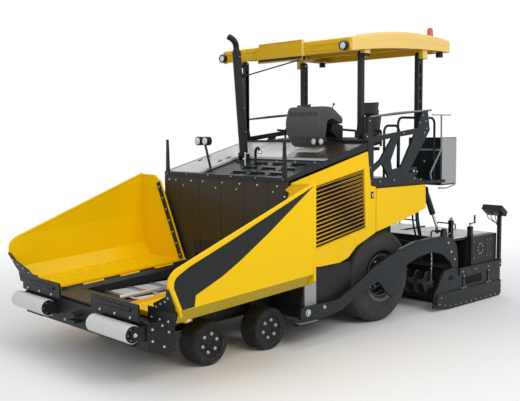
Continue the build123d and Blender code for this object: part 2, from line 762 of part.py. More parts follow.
# Hood: sloped top skin, in front of it a slotted deck, rims and side bands
hood_slope = (HOOD_REAR_Z - HOOD_FRONT_Z) / (HOOD_REAR_Y - BACK_WALL_Y)


def hood_z(y):
    """Height of the hood's top at a place along the machine."""
    return HOOD_FRONT_Z + hood_slope * (y - BACK_WALL_Y)


EXHAUST_Z = hood_z(EXHAUST_Y) - DECK_DROP + EXHAUST_RISE
HOOD_EDGE = 25  # side bands stand inside the doors' top edge
with BuildPart() as hood_top:
    for low_x, high_x, front_y in (
        (-HOOD_HALF + HOOD_EDGE, DECK_FAR_X, BACK_WALL_Y + 32),
        (DECK_FAR_X, HOOD_HALF - HOOD_EDGE, DECK_REAR_Y),
    ):
        with BuildSketch(side_plane(low_x)):
            with BuildLine():
                Polyline(
                    (front_y, hood_z(front_y) - HOOD_SKIN),
                    (HOOD_REAR_Y, HOOD_REAR_Z - HOOD_SKIN),
                    (HOOD_REAR_Y, HOOD_REAR_Z),
                    (front_y, hood_z(front_y)),
                    close=True,
                )
            make_face()
        extrude(amount=high_x - low_x)
finish(hood_top, "hood_top")

SLOT_ROWS = 3
SLOT_COLUMNS = 3
with BuildPart() as hood_deck:
    # Front rim across the whole width
    with BuildSketch(side_plane(-HOOD_HALF + HOOD_EDGE)):
        with BuildLine():
            Polyline(
                (BACK_WALL_Y, BACK_WALL_HIGH_Z),
                (BACK_WALL_Y + 30, BACK_WALL_HIGH_Z),
                (BACK_WALL_Y + 30, hood_z(BACK_WALL_Y + 30)),
                (BACK_WALL_Y, HOOD_FRONT_Z),
                close=True,
            )
        make_face()
    extrude(amount=2 * (HOOD_HALF - HOOD_EDGE))
    # Bands along both top edges, above the doors
    for side, sign in SIDES:
        band_x = HOOD_HALF - HOOD_EDGE if sign > 0 else -HOOD_HALF
        with BuildSketch(side_plane(band_x)):
            with BuildLine():
                Polyline(
                    (BACK_WALL_Y, 1990),
                    (HOOD_REAR_Y, 2330),
                    (HOOD_REAR_Y, HOOD_REAR_Z + 5),
                    (BACK_WALL_Y, HOOD_FRONT_Z + 5),
                    close=True,
                )
            make_face()
        extrude(amount=HOOD_EDGE)
    # Slotted deck, a little lower than the skin, with rows of slots
    deck_front = BACK_WALL_Y + 30
    deck_rear = DECK_REAR_Y - 2
    with BuildSketch(side_plane(DECK_FAR_X + 2)):
        with BuildLine():
            Polyline(
                (deck_front, hood_z(deck_front) - DECK_DROP - HOOD_SKIN),
                (deck_rear, hood_z(deck_rear) - DECK_DROP - HOOD_SKIN),
                (deck_rear, hood_z(deck_rear) - DECK_DROP),
                (deck_front, hood_z(deck_front) - DECK_DROP),
                close=True,
            )
        make_face()
    extrude(amount=HOOD_HALF - HOOD_EDGE - DECK_FAR_X - 2)
    for row in range(SLOT_ROWS):
        for column in range(SLOT_COLUMNS):
            slot_x = 120 + column * 340
            slot_y = deck_front + 150 + row * 190
            with BuildSketch(Plane(origin=(slot_x, slot_y, 1900))):
                SlotOverall(270, 55)
            extrude(amount=400, mode=Mode.SUBTRACT)
    # Foot plate, ears and pin that carry the exhaust
    with BuildSketch(Plane(origin=(EXHAUST_X, EXHAUST_Y, EXHAUST_Z - EXHAUST_RISE - HOOD_SKIN))):
        Rectangle(190, 130)
    extrude(amount=HOOD_SKIN + 10)
    for ear_x in (-EXHAUST_EYE_WIDE / 2 - 21, EXHAUST_EYE_WIDE / 2 + 6):
        with BuildSketch(side_plane(EXHAUST_X + ear_x)):
            with Locations((EXHAUST_Y, EXHAUST_Z - 30)):
                Rectangle(70, 120)
        extrude(amount=15)
    with BuildSketch(side_plane(EXHAUST_X - EXHAUST_EYE_WIDE / 2 - 15)):
        with Locations((EXHAUST_Y, EXHAUST_Z)):
            Circle(EXHAUST_PIN_R)
    extrude(amount=EXHAUST_EYE_WIDE + 30)
    # Twin work lamps on a stalk at the front edge of the deck
    stalk_foot = Vector(DECK_LAMP_X, DECK_LAMP_Y, hood_z(DECK_LAMP_Y) - DECK_DROP - 10)
    stalk_top = Vector(DECK_LAMP_X - 90, DECK_LAMP_Y - 40, 2450)
    stalk_aim = (stalk_top - stalk_foot).normalized()
    with BuildSketch(Plane(origin=stalk_foot, z_dir=stalk_aim)):
        Circle(16)
    extrude(amount=(stalk_top - stalk_foot).length)
    with BuildSketch(side_plane(DECK_LAMP_X - 180)):
        with Locations((DECK_LAMP_Y - 40, 2450)):
            Circle(14)
    extrude(amount=180)
    for lamp_x in (DECK_LAMP_X - 165, DECK_LAMP_X - 15):
        with BuildSketch(front_plane(DECK_LAMP_Y - 20)):
            with Locations((lamp_x, 2450)):
                Circle(58)
        extrude(amount=70)
    # Guide posts on the front corners
    for side, sign in SIDES:
        with BuildSketch(Plane(origin=(sign * (HOOD_HALF - 55), BACK_WALL_Y + 15, HOOD_FRONT_Z))):
            Rectangle(60, 28)
        with BuildSketch(Plane(origin=(sign * (HOOD_HALF - 55), BACK_WALL_Y + 15, HOOD_FRONT_Z + 440))):
            Rectangle(34, 20)
        loft()
finish(hood_deck, "hood_deck")

# Side doors of the engine bay, each with a slatted grille
DOOR_OUTLINE = (
    (DOOR_FRONT_Y, 960),
    (at(-1390), 938),
    (at(-1024), 945),
    (at(-872), 984),
    (at(-699), 1118),
    (at(-322), 1256),
    (at(-322), 1850),
    (at(-425), 1868),
    (at(-490), 2308),
    (DOOR_FRONT_Y, 1972),
)
GRILLE_OUTLINE = (
    (at(-1470), 1165),
    (at(-530), 1335),
    (at(-565), 2085),
    (at(-1500), 1905),
)
SLAT_COUNT = 15
slat_rise = (1335 - 1165) / 940
for side, sign in SIDES:
    door_x = DOOR_X if sign > 0 else -DOOR_X - DOOR_THICK
    with BuildPart() as side_door:
        with BuildSketch(side_plane(door_x)):
            with BuildLine():
                Polyline(*DOOR_OUTLINE, close=True)
            make_face()
            with BuildLine():
                Polyline(*GRILLE_OUTLINE, close=True)
            make_face(mode=Mode.SUBTRACT)
        extrude(amount=DOOR_THICK)
        # Slats run parallel to the lower edge of the opening
        for index in range(SLAT_COUNT):
            share = (index + 0.5) / SLAT_COUNT
            front_z = 1165 + share * (1905 - 1165)
            rear_z = 1335 + share * (2085 - 1335)
            with BuildSketch(side_plane(door_x + 4)):
                with BuildLine():
                    Polyline(
                        (at(-1510), front_z - 9),
                        (at(-525), rear_z - 9),
                        (at(-525), rear_z + 9),
                        (at(-1510), front_z + 9),
                        close=True,
                    )
                make_face()
            extrude(amount=DOOR_THICK - 8)
        # Hinge knuckles in front of the panel
        for hinge_z in DOOR_HINGE_HEIGHTS:
            with BuildSketch(Plane(origin=(sign * DOOR_HINGE_X, DOOR_HINGE_Y, hinge_z - 34))):
                Circle(14)
                with Locations((0, (DOOR_FRONT_Y - DOOR_HINGE_Y) / 2 + 4)):
                    Rectangle(16, DOOR_FRONT_Y - DOOR_HINGE_Y + 8)
                Circle(DOOR_PIN_R + PIN_GAP, mode=Mode.SUBTRACT)
            extrude(amount=68)
    finish(side_door, f"side_door_{side}")

# Rear fenders beside the platform, and grey side covers in front of the tow point
FENDER_OUTLINE = (
    (at(-310), 1264),
    (at(216), 1362),
    (at(786), 1497),
    (at(770), PLATFORM_Z - PLATFORM_THICK - 5),
    (at(-310), PLATFORM_Z - PLATFORM_THICK - 5),
)
with BuildPart() as rear_fenders:
    for side, sign in SIDES:
        fender_x = DOOR_X if sign > 0 else -DOOR_X - DOOR_THICK
        with BuildSketch(side_plane(fender_x)):
            with BuildLine():
                Polyline(*FENDER_OUTLINE, close=True)
            make_face()
        extrude(amount=DOOR_THICK)
        # Inner arch over the tyre, from the frame out to the fender
        inner_x = FRAME_HALF if sign > 0 else -DOOR_X
        with BuildSketch(side_plane(inner_x)):
            with BuildLine():
                Polyline(
                    (at(-300), 1395),
                    (at(760), 1560),
                    (at(760), 1580),
                    (at(-300), 1415),
                    close=True,
                )
            make_face()
        extrude(amount=DOOR_X - FRAME_HALF)
finish(rear_fenders, "rear_fenders")

with BuildPart() as side_covers:
    for side, sign in SIDES:
        cover_x = TANK_OUTER_X if sign > 0 else -TANK_OUTER_X - PLATE
        with BuildSketch(side_plane(cover_x)):
            with BuildLine():
                Polyline(
                    (at(-1602), 470),
                    (at(-1404), 470),
                    (at(-1404), 930),
                    (at(-1420), 930),
                    (at(-1602), 745),
                    close=True,
                )
            make_face()
        extrude(amount=PLATE)
finish(side_covers, "side_covers")

# Operator platform: floor, front bulkhead and low rear sill
with BuildPart() as operator_platform:
    platform_mid = (HOOD_REAR_Y + PLATFORM_REAR_Y) / 2
    with BuildSketch(Plane(origin=(0, platform_mid, PLATFORM_Z - PLATFORM_THICK))):
        Rectangle(2 * (DOOR_X - DOOR_GAP), PLATFORM_REAR_Y - HOOD_REAR_Y)
    extrude(amount=PLATFORM_THICK)
    with BuildSketch(Plane(origin=(0, HOOD_REAR_Y + PLATE / 2, PLATFORM_Z))):
        Rectangle(2 * SIDE_FRAME_X - 4, PLATE)
    extrude(amount=HOOD_REAR_Z + 30 - PLATFORM_Z)
    for side, sign in SIDES:
        wall_x = FRAME_HALF - FRAME_PLATE if sign > 0 else -FRAME_HALF
        with BuildSketch(side_plane(wall_x)):
            with BuildLine():
                Polyline(
                    (FRAME_REAR_Y, 1600),
                    (PLATFORM_REAR_Y - 60, 1790),
                    (PLATFORM_REAR_Y - 60, PLATFORM_Z - PLATFORM_THICK),
                    (FRAME_REAR_Y, PLATFORM_Z - PLATFORM_THICK),
                    close=True,
                )
            make_face()
        extrude(amount=FRAME_PLATE)
        # Bracket that carries the lift cylinder's top pin
        bracket_x = FRAME_HALF if sign > 0 else -LIFT_X + 60
        with BuildSketch(side_plane(bracket_x)):
            with BuildLine():
                Polyline(
                    (LIFT_TOP_Y - 60, LIFT_TOP_Z - 50),
                    (LIFT_TOP_Y + 60, LIFT_TOP_Z - 50),
                    (LIFT_TOP_Y + 60, PLATFORM_Z - PLATFORM_THICK),
                    (LIFT_TOP_Y - 60, PLATFORM_Z - PLATFORM_THICK),
                    close=True,
                )
            make_face()
        extrude(amount=LIFT_X - 60 - FRAME_HALF)
        with BuildSketch(wheel_plane(sign, LIFT_X - 60, LIFT_TOP_Y, LIFT_TOP_Z)):
            Circle(20)
        extrude(amount=110)
finish(operator_platform, "operator_platform")

# Side frames: dark plates with three windows, carrying the canopy's posts
SIDE_FRAME_OUTLINE = (
    (at(-440), PLATFORM_Z),
    (at(-455), 2760),
    (at(-390), 2760),
    (at(-340), 2495),
    (at(623), 2606),
    (at(711), 2824),
    (at(852), 2853),
    (at(906), 2577),
    (at(420), 2010),
    (at(760), PLATFORM_Z),
)
SIDE_FRAME_WINDOWS = (
    ((at(-330), 2430), (at(60), 2476), (at(-190), 2200), (at(-330), 2120)),
    ((at(-330), 2040), (at(-150), 2140), (at(-20), 1960), (at(-330), 1960)),
    ((at(200), 2490), (at(560), 2525), (at(250), 2080), (at(60), 2060), (at(30), 2180)),
)
with BuildPart() as side_frames:
    for side, sign in SIDES:
        frame_x = SIDE_FRAME_X if sign > 0 else -SIDE_FRAME_X - SIDE_FRAME_THICK
        with BuildSketch(side_plane(frame_x)):
            with BuildLine():
                Polyline(*SIDE_FRAME_OUTLINE, close=True)
            make_face()
            for window in SIDE_FRAME_WINDOWS:
                with BuildLine():
                    Polyline(*window, close=True)
                make_face(mode=Mode.SUBTRACT)
        extrude(amount=SIDE_FRAME_THICK)
        # Thin rail from tip to tip, outside the posts
        rail_middle = (frame_x + SIDE_FRAME_THICK / 2, at(-420), 2745)
        rail_end = (frame_x + SIDE_FRAME_THICK / 2, at(950), 2853)
        with BuildLine() as rail_line:
            Line(rail_middle, rail_end)
        with BuildSketch(Plane(origin=rail_middle, z_dir=rail_line.line % 0)):
            Circle(11)
        sweep(path=rail_line.line)
        # Pins that the posts fold on
        with BuildSketch(wheel_plane(sign, POST_X - POST_WIDE / 2 - 8, FRONT_POST_Y, FRONT_POST_Z)):
            Circle(POST_PIN_R)
        extrude(amount=SIDE_FRAME_X - POST_X + POST_WIDE / 2 + 8 + 10)
        with BuildSketch(side_plane(frame_x)):
            with Locations((FRONT_POST_Y, FRONT_POST_Z)):
                Circle(50)
        extrude(amount=SIDE_FRAME_THICK)
        with BuildSketch(wheel_plane(sign, POST_X - POST_WIDE / 2 - 8, REAR_POST_Y, REAR_POST_Z)):
            Circle(POST_PIN_R)
        extrude(amount=SIDE_FRAME_X - POST_X + POST_WIDE / 2 + 8 + 10)
finish(side_frames, "side_frames")

# Canopy posts: each pair folds as one, so the four make a parallel linkage
POST_WINDOWS = (180, 353, 526, 699, 872)
POST_TABLE = (("front_posts", FRONT_POST_Y, FRONT_POST_Z, 70), ("rear_posts", REAR_POST_Y, REAR_POST_Z, 110))
for label, post_y, post_z, post_deep in POST_TABLE:
    with BuildPart() as posts:
        for side, sign in SIDES:
            low_x = POST_X - POST_WIDE / 2 if sign > 0 else -POST_X - POST_WIDE / 2
            with BuildSketch(side_plane(low_x)):
                with Locations((post_y, post_z + POST_LENGTH / 2)):
                    Rectangle(post_deep, POST_LENGTH)
                with Locations((post_y, post_z), (post_y, post_z + POST_LENGTH)):
                    Circle(post_deep / 2)
                with Locations((post_y, post_z)):
                    Circle(POST_PIN_R + PIN_GAP, mode=Mode.SUBTRACT)
                with Locations((post_y, post_z + POST_LENGTH)):
                    Circle(POST_PIN_R + PIN_GAP, mode=Mode.SUBTRACT)
            extrude(amount=POST_WIDE)
            if label == "rear_posts":
                with BuildSketch(side_plane(low_x)):
                    with Locations(*[(post_y, post_z + height) for height in POST_WINDOWS]):
                        Rectangle(38, 130)
                extrude(amount=POST_WIDE, mode=Mode.SUBTRACT)
            else:
                # The front posts are channels, open towards the middle
                channel_x = low_x if sign > 0 else low_x + 12
                with BuildSketch(side_plane(channel_x)):
                    with Locations((post_y, post_z + POST_LENGTH / 2)):
                        Rectangle(post_deep - 20, POST_LENGTH - 180)
                extrude(amount=POST_WIDE - 12, mode=Mode.SUBTRACT)
    finish(posts, label)

# Canopy: arched shell with a front fascia, hung on pins at the posts' tops
CANOPY_OUTER = (  # y, z along the top, from the front
    (CANOPY_FRONT_Y, CANOPY_LOW_Z),
    (CANOPY_FRONT_Y, 3725),
    (at(250), 3872),
    (CANOPY_REAR_Y, 3830),
    (CANOPY_REAR_Y, 3665),
    (at(250), 3655),
)
with BuildPart() as canopy:
    with BuildSketch(side_plane(-CANOPY_HALF)):
        with BuildLine():
            Line(CANOPY_OUTER[0], CANOPY_OUTER[1])
            ThreePointArc(CANOPY_OUTER[1], CANOPY_OUTER[2], CANOPY_OUTER[3])
            Line(CANOPY_OUTER[3], CANOPY_OUTER[4])
            ThreePointArc(CANOPY_OUTER[4], CANOPY_OUTER[5], CANOPY_OUTER[0])
        make_face()
    extrude(amount=2 * CANOPY_HALF)
    fillet(canopy.edges().filter_by(Axis.Z), 60)
    fillet(canopy.faces().sort_by(Axis.Z)[-1].edges(), 45)
    with BuildSketch(side_plane(-CANOPY_HALF + CANOPY_SKIN)):
        with BuildLine():
            Line((CANOPY_FRONT_Y + CANOPY_SKIN, 3400), (CANOPY_FRONT_Y + CANOPY_SKIN, 3725 - CANOPY_SKIN))
            ThreePointArc((CANOPY_FRONT_Y + CANOPY_SKIN, 3725 - CANOPY_SKIN),
                          (at(250), 3872 - CANOPY_SKIN),
                          (CANOPY_REAR_Y - CANOPY_SKIN, 3830 - CANOPY_SKIN))
            Line((CANOPY_REAR_Y - CANOPY_SKIN, 3830 - CANOPY_SKIN), (CANOPY_REAR_Y - CANOPY_SKIN, 3400))
            Line((CANOPY_REAR_Y - CANOPY_SKIN, 3400), (CANOPY_FRONT_Y + CANOPY_SKIN, 3400))
        make_face()
    extrude(amount=2 * (CANOPY_HALF - CANOPY_SKIN), mode=Mode.SUBTRACT)
    # Hangers with pins for the posts
    for label, post_y, post_z, post_deep in POST_TABLE:
        for side, sign in SIDES:
            hanger_x = POST_X + POST_WIDE / 2 + 6
            place_x = hanger_x if sign > 0 else -CANOPY_HALF + CANOPY_SKIN
            hanger_high = 3790 if post_y > AXLE_Y else 3725
            with BuildSketch(side_plane(place_x)):
                with Locations((post_y, (post_z + POST_LENGTH - 45 + hanger_high) / 2)):
                    Rectangle(110, hanger_high - post_z - POST_LENGTH + 45)
            extrude(amount=CANOPY_HALF - CANOPY_SKIN - hanger_x)
            with BuildSketch(wheel_plane(sign, POST_X - POST_WIDE / 2 - 8, post_y, post_z + POST_LENGTH)):
                Circle(POST_PIN_R)
            extrude(amount=POST_WIDE + 24)
    # Raised plate in the middle of the front, and pads behind the front lamps
    with BuildSketch(front_plane(CANOPY_FRONT_Y + 20)):
        with BuildLine():
            Polyline((-430, 3500), (430, 3500), (405, 3760), (-405, 3760), close=True)
        make_face()
    extrude(amount=48)
    for side, sign in SIDES:
        with BuildSketch(front_plane(CANOPY_FRONT_Y + 10)):
            with Locations((sign * FRONT_LAMP_X, CANOPY_LOW_Z + 60)):
                Circle(74)
        extrude(amount=18)
    # Ribs across the inside of the shell
    for rib_y in (at(-60), at(450), at(960)):
        with BuildSketch(front_plane(rib_y + 20)):
            with Locations((0, 3752)):
                Rectangle(2 * (CANOPY_HALF - 10), 64)
        extrude(amount=40)
    # Link to the exhaust stack: its eye is as far above the stack's hinge as the posts are long
    link_eye = Vector(LINK_EYE_X, EXHAUST_Y, EXHAUST_Z + POST_LENGTH)
    link_end = Vector(420, CANOPY_FRONT_Y, 3515)
    link_aim = (link_end - link_eye).normalized()
    with BuildSketch(Plane(origin=link_eye + link_aim * (LINK_EYE_R - 4), z_dir=link_aim)):
        Circle(9)
    extrude(amount=(link_end - link_eye).length - LINK_EYE_R + 4)
    with BuildSketch(side_plane(LINK_EYE_X - 8)):
        with Locations((EXHAUST_Y, EXHAUST_Z + POST_LENGTH)):
            Circle(LINK_EYE_R)
    extrude(amount=16)
    with BuildSketch(side_plane(LINK_EYE_X - 10)):
        with Locations((EXHAUST_Y, EXHAUST_Z + POST_LENGTH)):
            Circle(LINK_PIN_R + PIN_GAP)
    extrude(amount=20, mode=Mode.SUBTRACT)
    # Boss for the beacon and corner plates for the rear lamps
    with BuildSketch(Plane(origin=(BEACON_X, BEACON_Y, 3810))):
        Circle(48)
    extrude(amount=BEACON_Z - 3810)
    for side, sign in SIDES:
        with BuildSketch(Plane(origin=(sign * REAR_LAMP_X, REAR_LAMP_Y, REAR_LAMP_Z))):
            Rectangle(160, 160)
        extrude(amount=15)
finish(canopy, "canopy")

# Beacon on the canopy, and round lamps at its corners
with BuildPart() as beacon:
    with BuildSketch(Plane(origin=(BEACON_X, BEACON_Y, BEACON_Z))):
        Circle(45)
    extrude(amount=25)
    with BuildSketch(Plane(origin=(BEACON_X, BEACON_Y, BEACON_Z + 25))):
        Circle(50)
    extrude(amount=125, taper=6)
finish(beacon, "beacon")

with BuildPart() as roof_lamps:
    for side, sign in SIDES:
        lamp_plane = Plane(
            origin=(sign * FRONT_LAMP_X, CANOPY_FRONT_Y - 8, CANOPY_LOW_Z + 60),
            x_dir=(1, 0, 0),
            z_dir=(0, -1, 0),
        )
        with BuildSketch(lamp_plane):
            Circle(60)
        extrude(amount=70)
        with BuildSketch(Plane(origin=(sign * REAR_LAMP_X, REAR_LAMP_Y, REAR_LAMP_Z - 75))):
            Circle(50)
        extrude(amount=75)
finish(roof_lamps, "roof_lamps")

# Exhaust stack: hinged at its foot, leaning forward, with a bent outlet
lean = radians(EXHAUST_LEAN)
stack_dir = Vector(0, -sin(lean), cos(lean))
stack_root = Vector(EXHAUST_X, EXHAUST_Y, EXHAUST_Z)
with BuildPart() as exhaust:
    with BuildSketch(Plane(origin=stack_root + stack_dir * 25, x_dir=(1, 0, 0), z_dir=stack_dir)):
        Circle(EXHAUST_R)
    extrude(amount=1345)
    with BuildLine() as pipe_path:
        straight = Line(stack_root + stack_dir * 1350, stack_root + stack_dir * 1430)
        bend = RadiusArc(straight @ 1, (straight @ 1) + Vector(0, -130, 125), 150)
    with BuildSketch(Plane(origin=straight @ 0, z_dir=stack_dir)):
        Circle(40)
    sweep(path=pipe_path.line)
    with BuildSketch(side_plane(EXHAUST_X - EXHAUST_EYE_WIDE / 2)):
        with Locations((EXHAUST_Y, EXHAUST_Z)):
            Circle(36)
    extrude(amount=EXHAUST_EYE_WIDE)
    with BuildSketch(side_plane(EXHAUST_X - EXHAUST_EYE_WIDE / 2)):
        with Locations((EXHAUST_Y, EXHAUST_Z)):
            Circle(EXHAUST_PIN_R + PIN_GAP)
    extrude(amount=EXHAUST_EYE_WIDE, mode=Mode.SUBTRACT)
    # Lug and pin for the canopy's link
    with BuildSketch(side_plane(EXHAUST_X - 10)):
        with Locations((EXHAUST_Y - 35, EXHAUST_Z + POST_LENGTH)):
            Rectangle(70, 70)
        with Locations((EXHAUST_Y, EXHAUST_Z + POST_LENGTH)):
            Circle(22)
    extrude(amount=16)
    with BuildSketch(side_plane(EXHAUST_X)):
        with Locations((EXHAUST_Y, EXHAUST_Z + POST_LENGTH)):
            Circle(LINK_PIN_R)
    extrude(amount=LINK_EYE_X - EXHAUST_X + 14)
finish(exhaust, "exhaust")

# Operator's console, seats, lockers and rails
with BuildPart() as console:
    with BuildSketch(side_plane(130)):
        with BuildLine():
            Polyline(
                (at(-700), 2450),
                (at(-900), 2480),
                (at(-960), 2700),
                (at(-900), 2890),
                (at(-700), 2885),
                (at(-480), 2740),
                (at(-500), 2600),
                (at(-620), 2520),
                close=True,
            )
        make_face()
    extrude(amount=780)
    fillet(console.edges().filter_by(Axis.X), 30)
    # Pedestal on the platform, reaching over the bulkhead
    with BuildSketch(side_plane(390)):
        with BuildLine():
            Polyline(
                (at(-430), PLATFORM_Z),
                (at(-320), PLATFORM_Z),
                (at(-320), 2640),
                (at(-520), 2700),
                (at(-560), 2570),
                (at(-430), 2490),
                close=True,
            )
        make_face()
    extrude(amount=260)
    # Twin work lamps on a stalk in front
    for lamp_x in (690, 835):
        with BuildSketch(front_plane(at(-915))):
            with Locations((lamp_x, 2440)):
                Circle(48)
        extrude(amount=62)
    with BuildSketch(side_plane(690)):
        with Locations((at(-920), 2440)):
            Circle(16)
    extrude(amount=145)
    with BuildSketch(Plane(origin=(762, at(-920), 2440))):
        Circle(14)
    extrude(amount=70)
finish(console, "console")

with BuildPart() as seats:
    for side, sign in SIDES:
        seat_x = sign * 640
        with BuildSketch(Plane(origin=(seat_x, at(40), PLATFORM_Z))):
            Rectangle(260, 260)
        extrude(amount=480)
        with BuildSketch(Plane(origin=(seat_x, at(20), PLATFORM_Z + 480))):
            RectangleRounded(480, 480, 60)
        extrude(amount=130)
        with BuildSketch(Plane(origin=(seat_x, at(220), PLATFORM_Z + 560), x_dir=(1, 0, 0), z_dir=(0, 0.16, 1))):
            RectangleRounded(440, 110, 40)
        extrude(amount=560)
finish(seats, "seats")

with BuildPart() as rear_lockers:
    for side, sign in SIDES:
        with BuildSketch(Plane(origin=(sign * 820, at(1500), 1780))):
            Rectangle(560, 400)
        extrude(amount=690)
        with BuildSketch(Plane(origin=(sign * 820, at(1500), 1780))):
            Rectangle(520, 360)
        extrude(amount=670, mode=Mode.SUBTRACT)
finish(rear_lockers, "rear_lockers")

RAIL_R = 17
RAIL_HOOPS = ((1015, 405, 1262, 2750), (945, 190, 520, 2640))  # x, front y, rear y, top z
with BuildPart() as handrails:
    for side, sign in SIDES:
        for rail_x, front_y, rear_y, top_z in RAIL_HOOPS:
            points = [
                (sign * rail_x, at(rear_y), PLATFORM_Z),
                (sign * rail_x, at(rear_y), top_z),
                (sign * rail_x, at(front_y), top_z),
                (sign * rail_x, at(front_y), PLATFORM_Z),
            ]
            with BuildLine() as rail_path:
                FilletPolyline(*points, radius=90)
            with BuildSketch(Plane(origin=points[0], z_dir=(0, 0, 1))):
                Circle(RAIL_R)
            sweep(path=rail_path.line)
finish(handrails, "handrails")

# Tow arms: bent plates from the tow pins back to the screed
ARM_TOP = (
    (-1745, 480), (-1083, 491), (-816, 598), (-358, 823), (172, 989), (509, 1057), (862, 1071), (1231, 1064),
    (1420, 1015), (1520, 900), (1560, 700),
)
ARM_BOTTOM = (
    (1560, 560), (1420, 560), (1368, 671), (1162, 811), (915, 867), (629, 842), (400, 786), (225, 720),
    (213, 521), (130, 400), (7, 360), (-123, 447), (-294, 617), (-698, 491), (-1007, 360), (-1231, 320),
    (-1658, 306), (-1760, 340),
)
with BuildPart() as tow_arms:
    for side, sign in SIDES:
        arm_x = ARM_INNER_X if sign > 0 else -ARM_INNER_X - ARM_THICK
        with BuildSketch(side_plane(arm_x)):
            with BuildLine():
                Polyline(*[(at(y), z) for y, z in ARM_TOP + ARM_BOTTOM], close=True)
            make_face()
            with Locations((TOW_Y, TOW_Z)):
                Circle(TOW_PIN_ARM_R + PIN_GAP, mode=Mode.SUBTRACT)
        extrude(amount=ARM_THICK)
        # Foot plate below the front end
        foot_x = ARM_INNER_X - 5 if sign > 0 else -ARM_INNER_X - 85
        with BuildSketch(Plane(origin=(foot_x + 45, at(-1640), 290))):
            Rectangle(90, 400)
        extrude(amount=14)
        with BuildSketch(side_plane(arm_x)):
            with Locations((at(-1600), 315)):
                Rectangle(160, 50)
        extrude(amount=ARM_THICK)
        # Lug on the arm's top for the lift cylinder
        with BuildSketch(wheel_plane(sign, LIFT_X - 30, LIFT_EYE_Y, LIFT_EYE_Z)):
            Circle(16)
        extrude(amount=ARM_INNER_X - LIFT_X + 30 + 20)
        with BuildSketch(side_plane(arm_x)):
            with Locations((LIFT_EYE_Y, LIFT_EYE_Z)):
                Circle(45)
            with Locations((LIFT_EYE_Y, LIFT_EYE_Z - 60)):
                Rectangle(120, 100)
        extrude(amount=ARM_THICK)
finish(tow_arms, "tow_arms")

# Screed: bottom plate, box body and step, with a guide tube across the back
with BuildPart() as screed_main:
    with BuildSketch(side_plane(-SCREED_HALF)):
        with BuildLine():
            Polyline(
                (SCREED_FRONT_Y, SCREED_LOW_Z + 40),
                (SCREED_FRONT_Y + 60, SCREED_LOW_Z),
                (SCREED_REAR_Y, SCREED_LOW_Z),
                (SCREED_REAR_Y, SCREED_HIGH_Z),
                (SCREED_FRONT_Y + 80, SCREED_HIGH_Z),
                (SCREED_FRONT_Y + 80, 620),
                (SCREED_FRONT_Y, 560),
                close=True,
            )
        make_face()
        with BuildLine():
            Polyline(
                (SCREED_FRONT_Y + SCREED_WALL, SCREED_LOW_Z + 70),
                (SCREED_REAR_Y - SCREED_WALL, SCREED_LOW_Z + 70),
                (SCREED_REAR_Y - SCREED_WALL, SCREED_HIGH_Z - SCREED_WALL),
                (SCREED_FRONT_Y + 80 + SCREED_WALL, SCREED_HIGH_Z - SCREED_WALL),
                (SCREED_FRONT_Y + 80 + SCREED_WALL, 605),
                (SCREED_FRONT_Y + SCREED_WALL, 545),
                close=True,
            )
        make_face(mode=Mode.SUBTRACT)
    extrude(amount=2 * SCREED_HALF)
    with BuildSketch(side_plane(-EXTENSION_INNER_X + SLIDE_GAP + 5)):
        with BuildLine():
            Polyline(
                (SCREED_REAR_Y - 10, GUIDE_TUBE_Z - 110),
                (GUIDE_TUBE_Y + 110, GUIDE_TUBE_Z - 110),
                (GUIDE_TUBE_Y + 110, GUIDE_TUBE_Z + 110),
                (SCREED_REAR_Y - 10, GUIDE_TUBE_Z + 110),
                close=True,
            )
        make_face()
    extrude(amount=2 * (EXTENSION_INNER_X - SLIDE_GAP - 5))
    with BuildSketch(side_plane(-SCREED_HALF + 40)):
        with Locations((GUIDE_TUBE_Y, GUIDE_TUBE_Z)):
            Circle(GUIDE_TUBE_R)
    extrude(amount=2 * (SCREED_HALF - 40))
    # Upright stops on the top, one pair in front
    for side, sign in SIDES:
        with BuildSketch(Plane(origin=(sign * 1120, at(1560), SCREED_HIGH_Z))):
            Rectangle(50, 60)
        extrude(amount=270)
    # Side brackets out to the tow arms
    for side, sign in SIDES:
        bracket_x = SCREED_HALF if sign > 0 else -ARM_INNER_X
        with BuildSketch(side_plane(bracket_x)):
            with BuildLine():
                Polyline(
                    (at(1440), 575),
                    (at(1550), 575),
                    (at(1550), 690),
                    (at(1440), 690),
                    close=True,
                )
            make_face()
        extrude(amount=ARM_INNER_X - SCREED_HALF)
finish(screed_main, "screed_main")

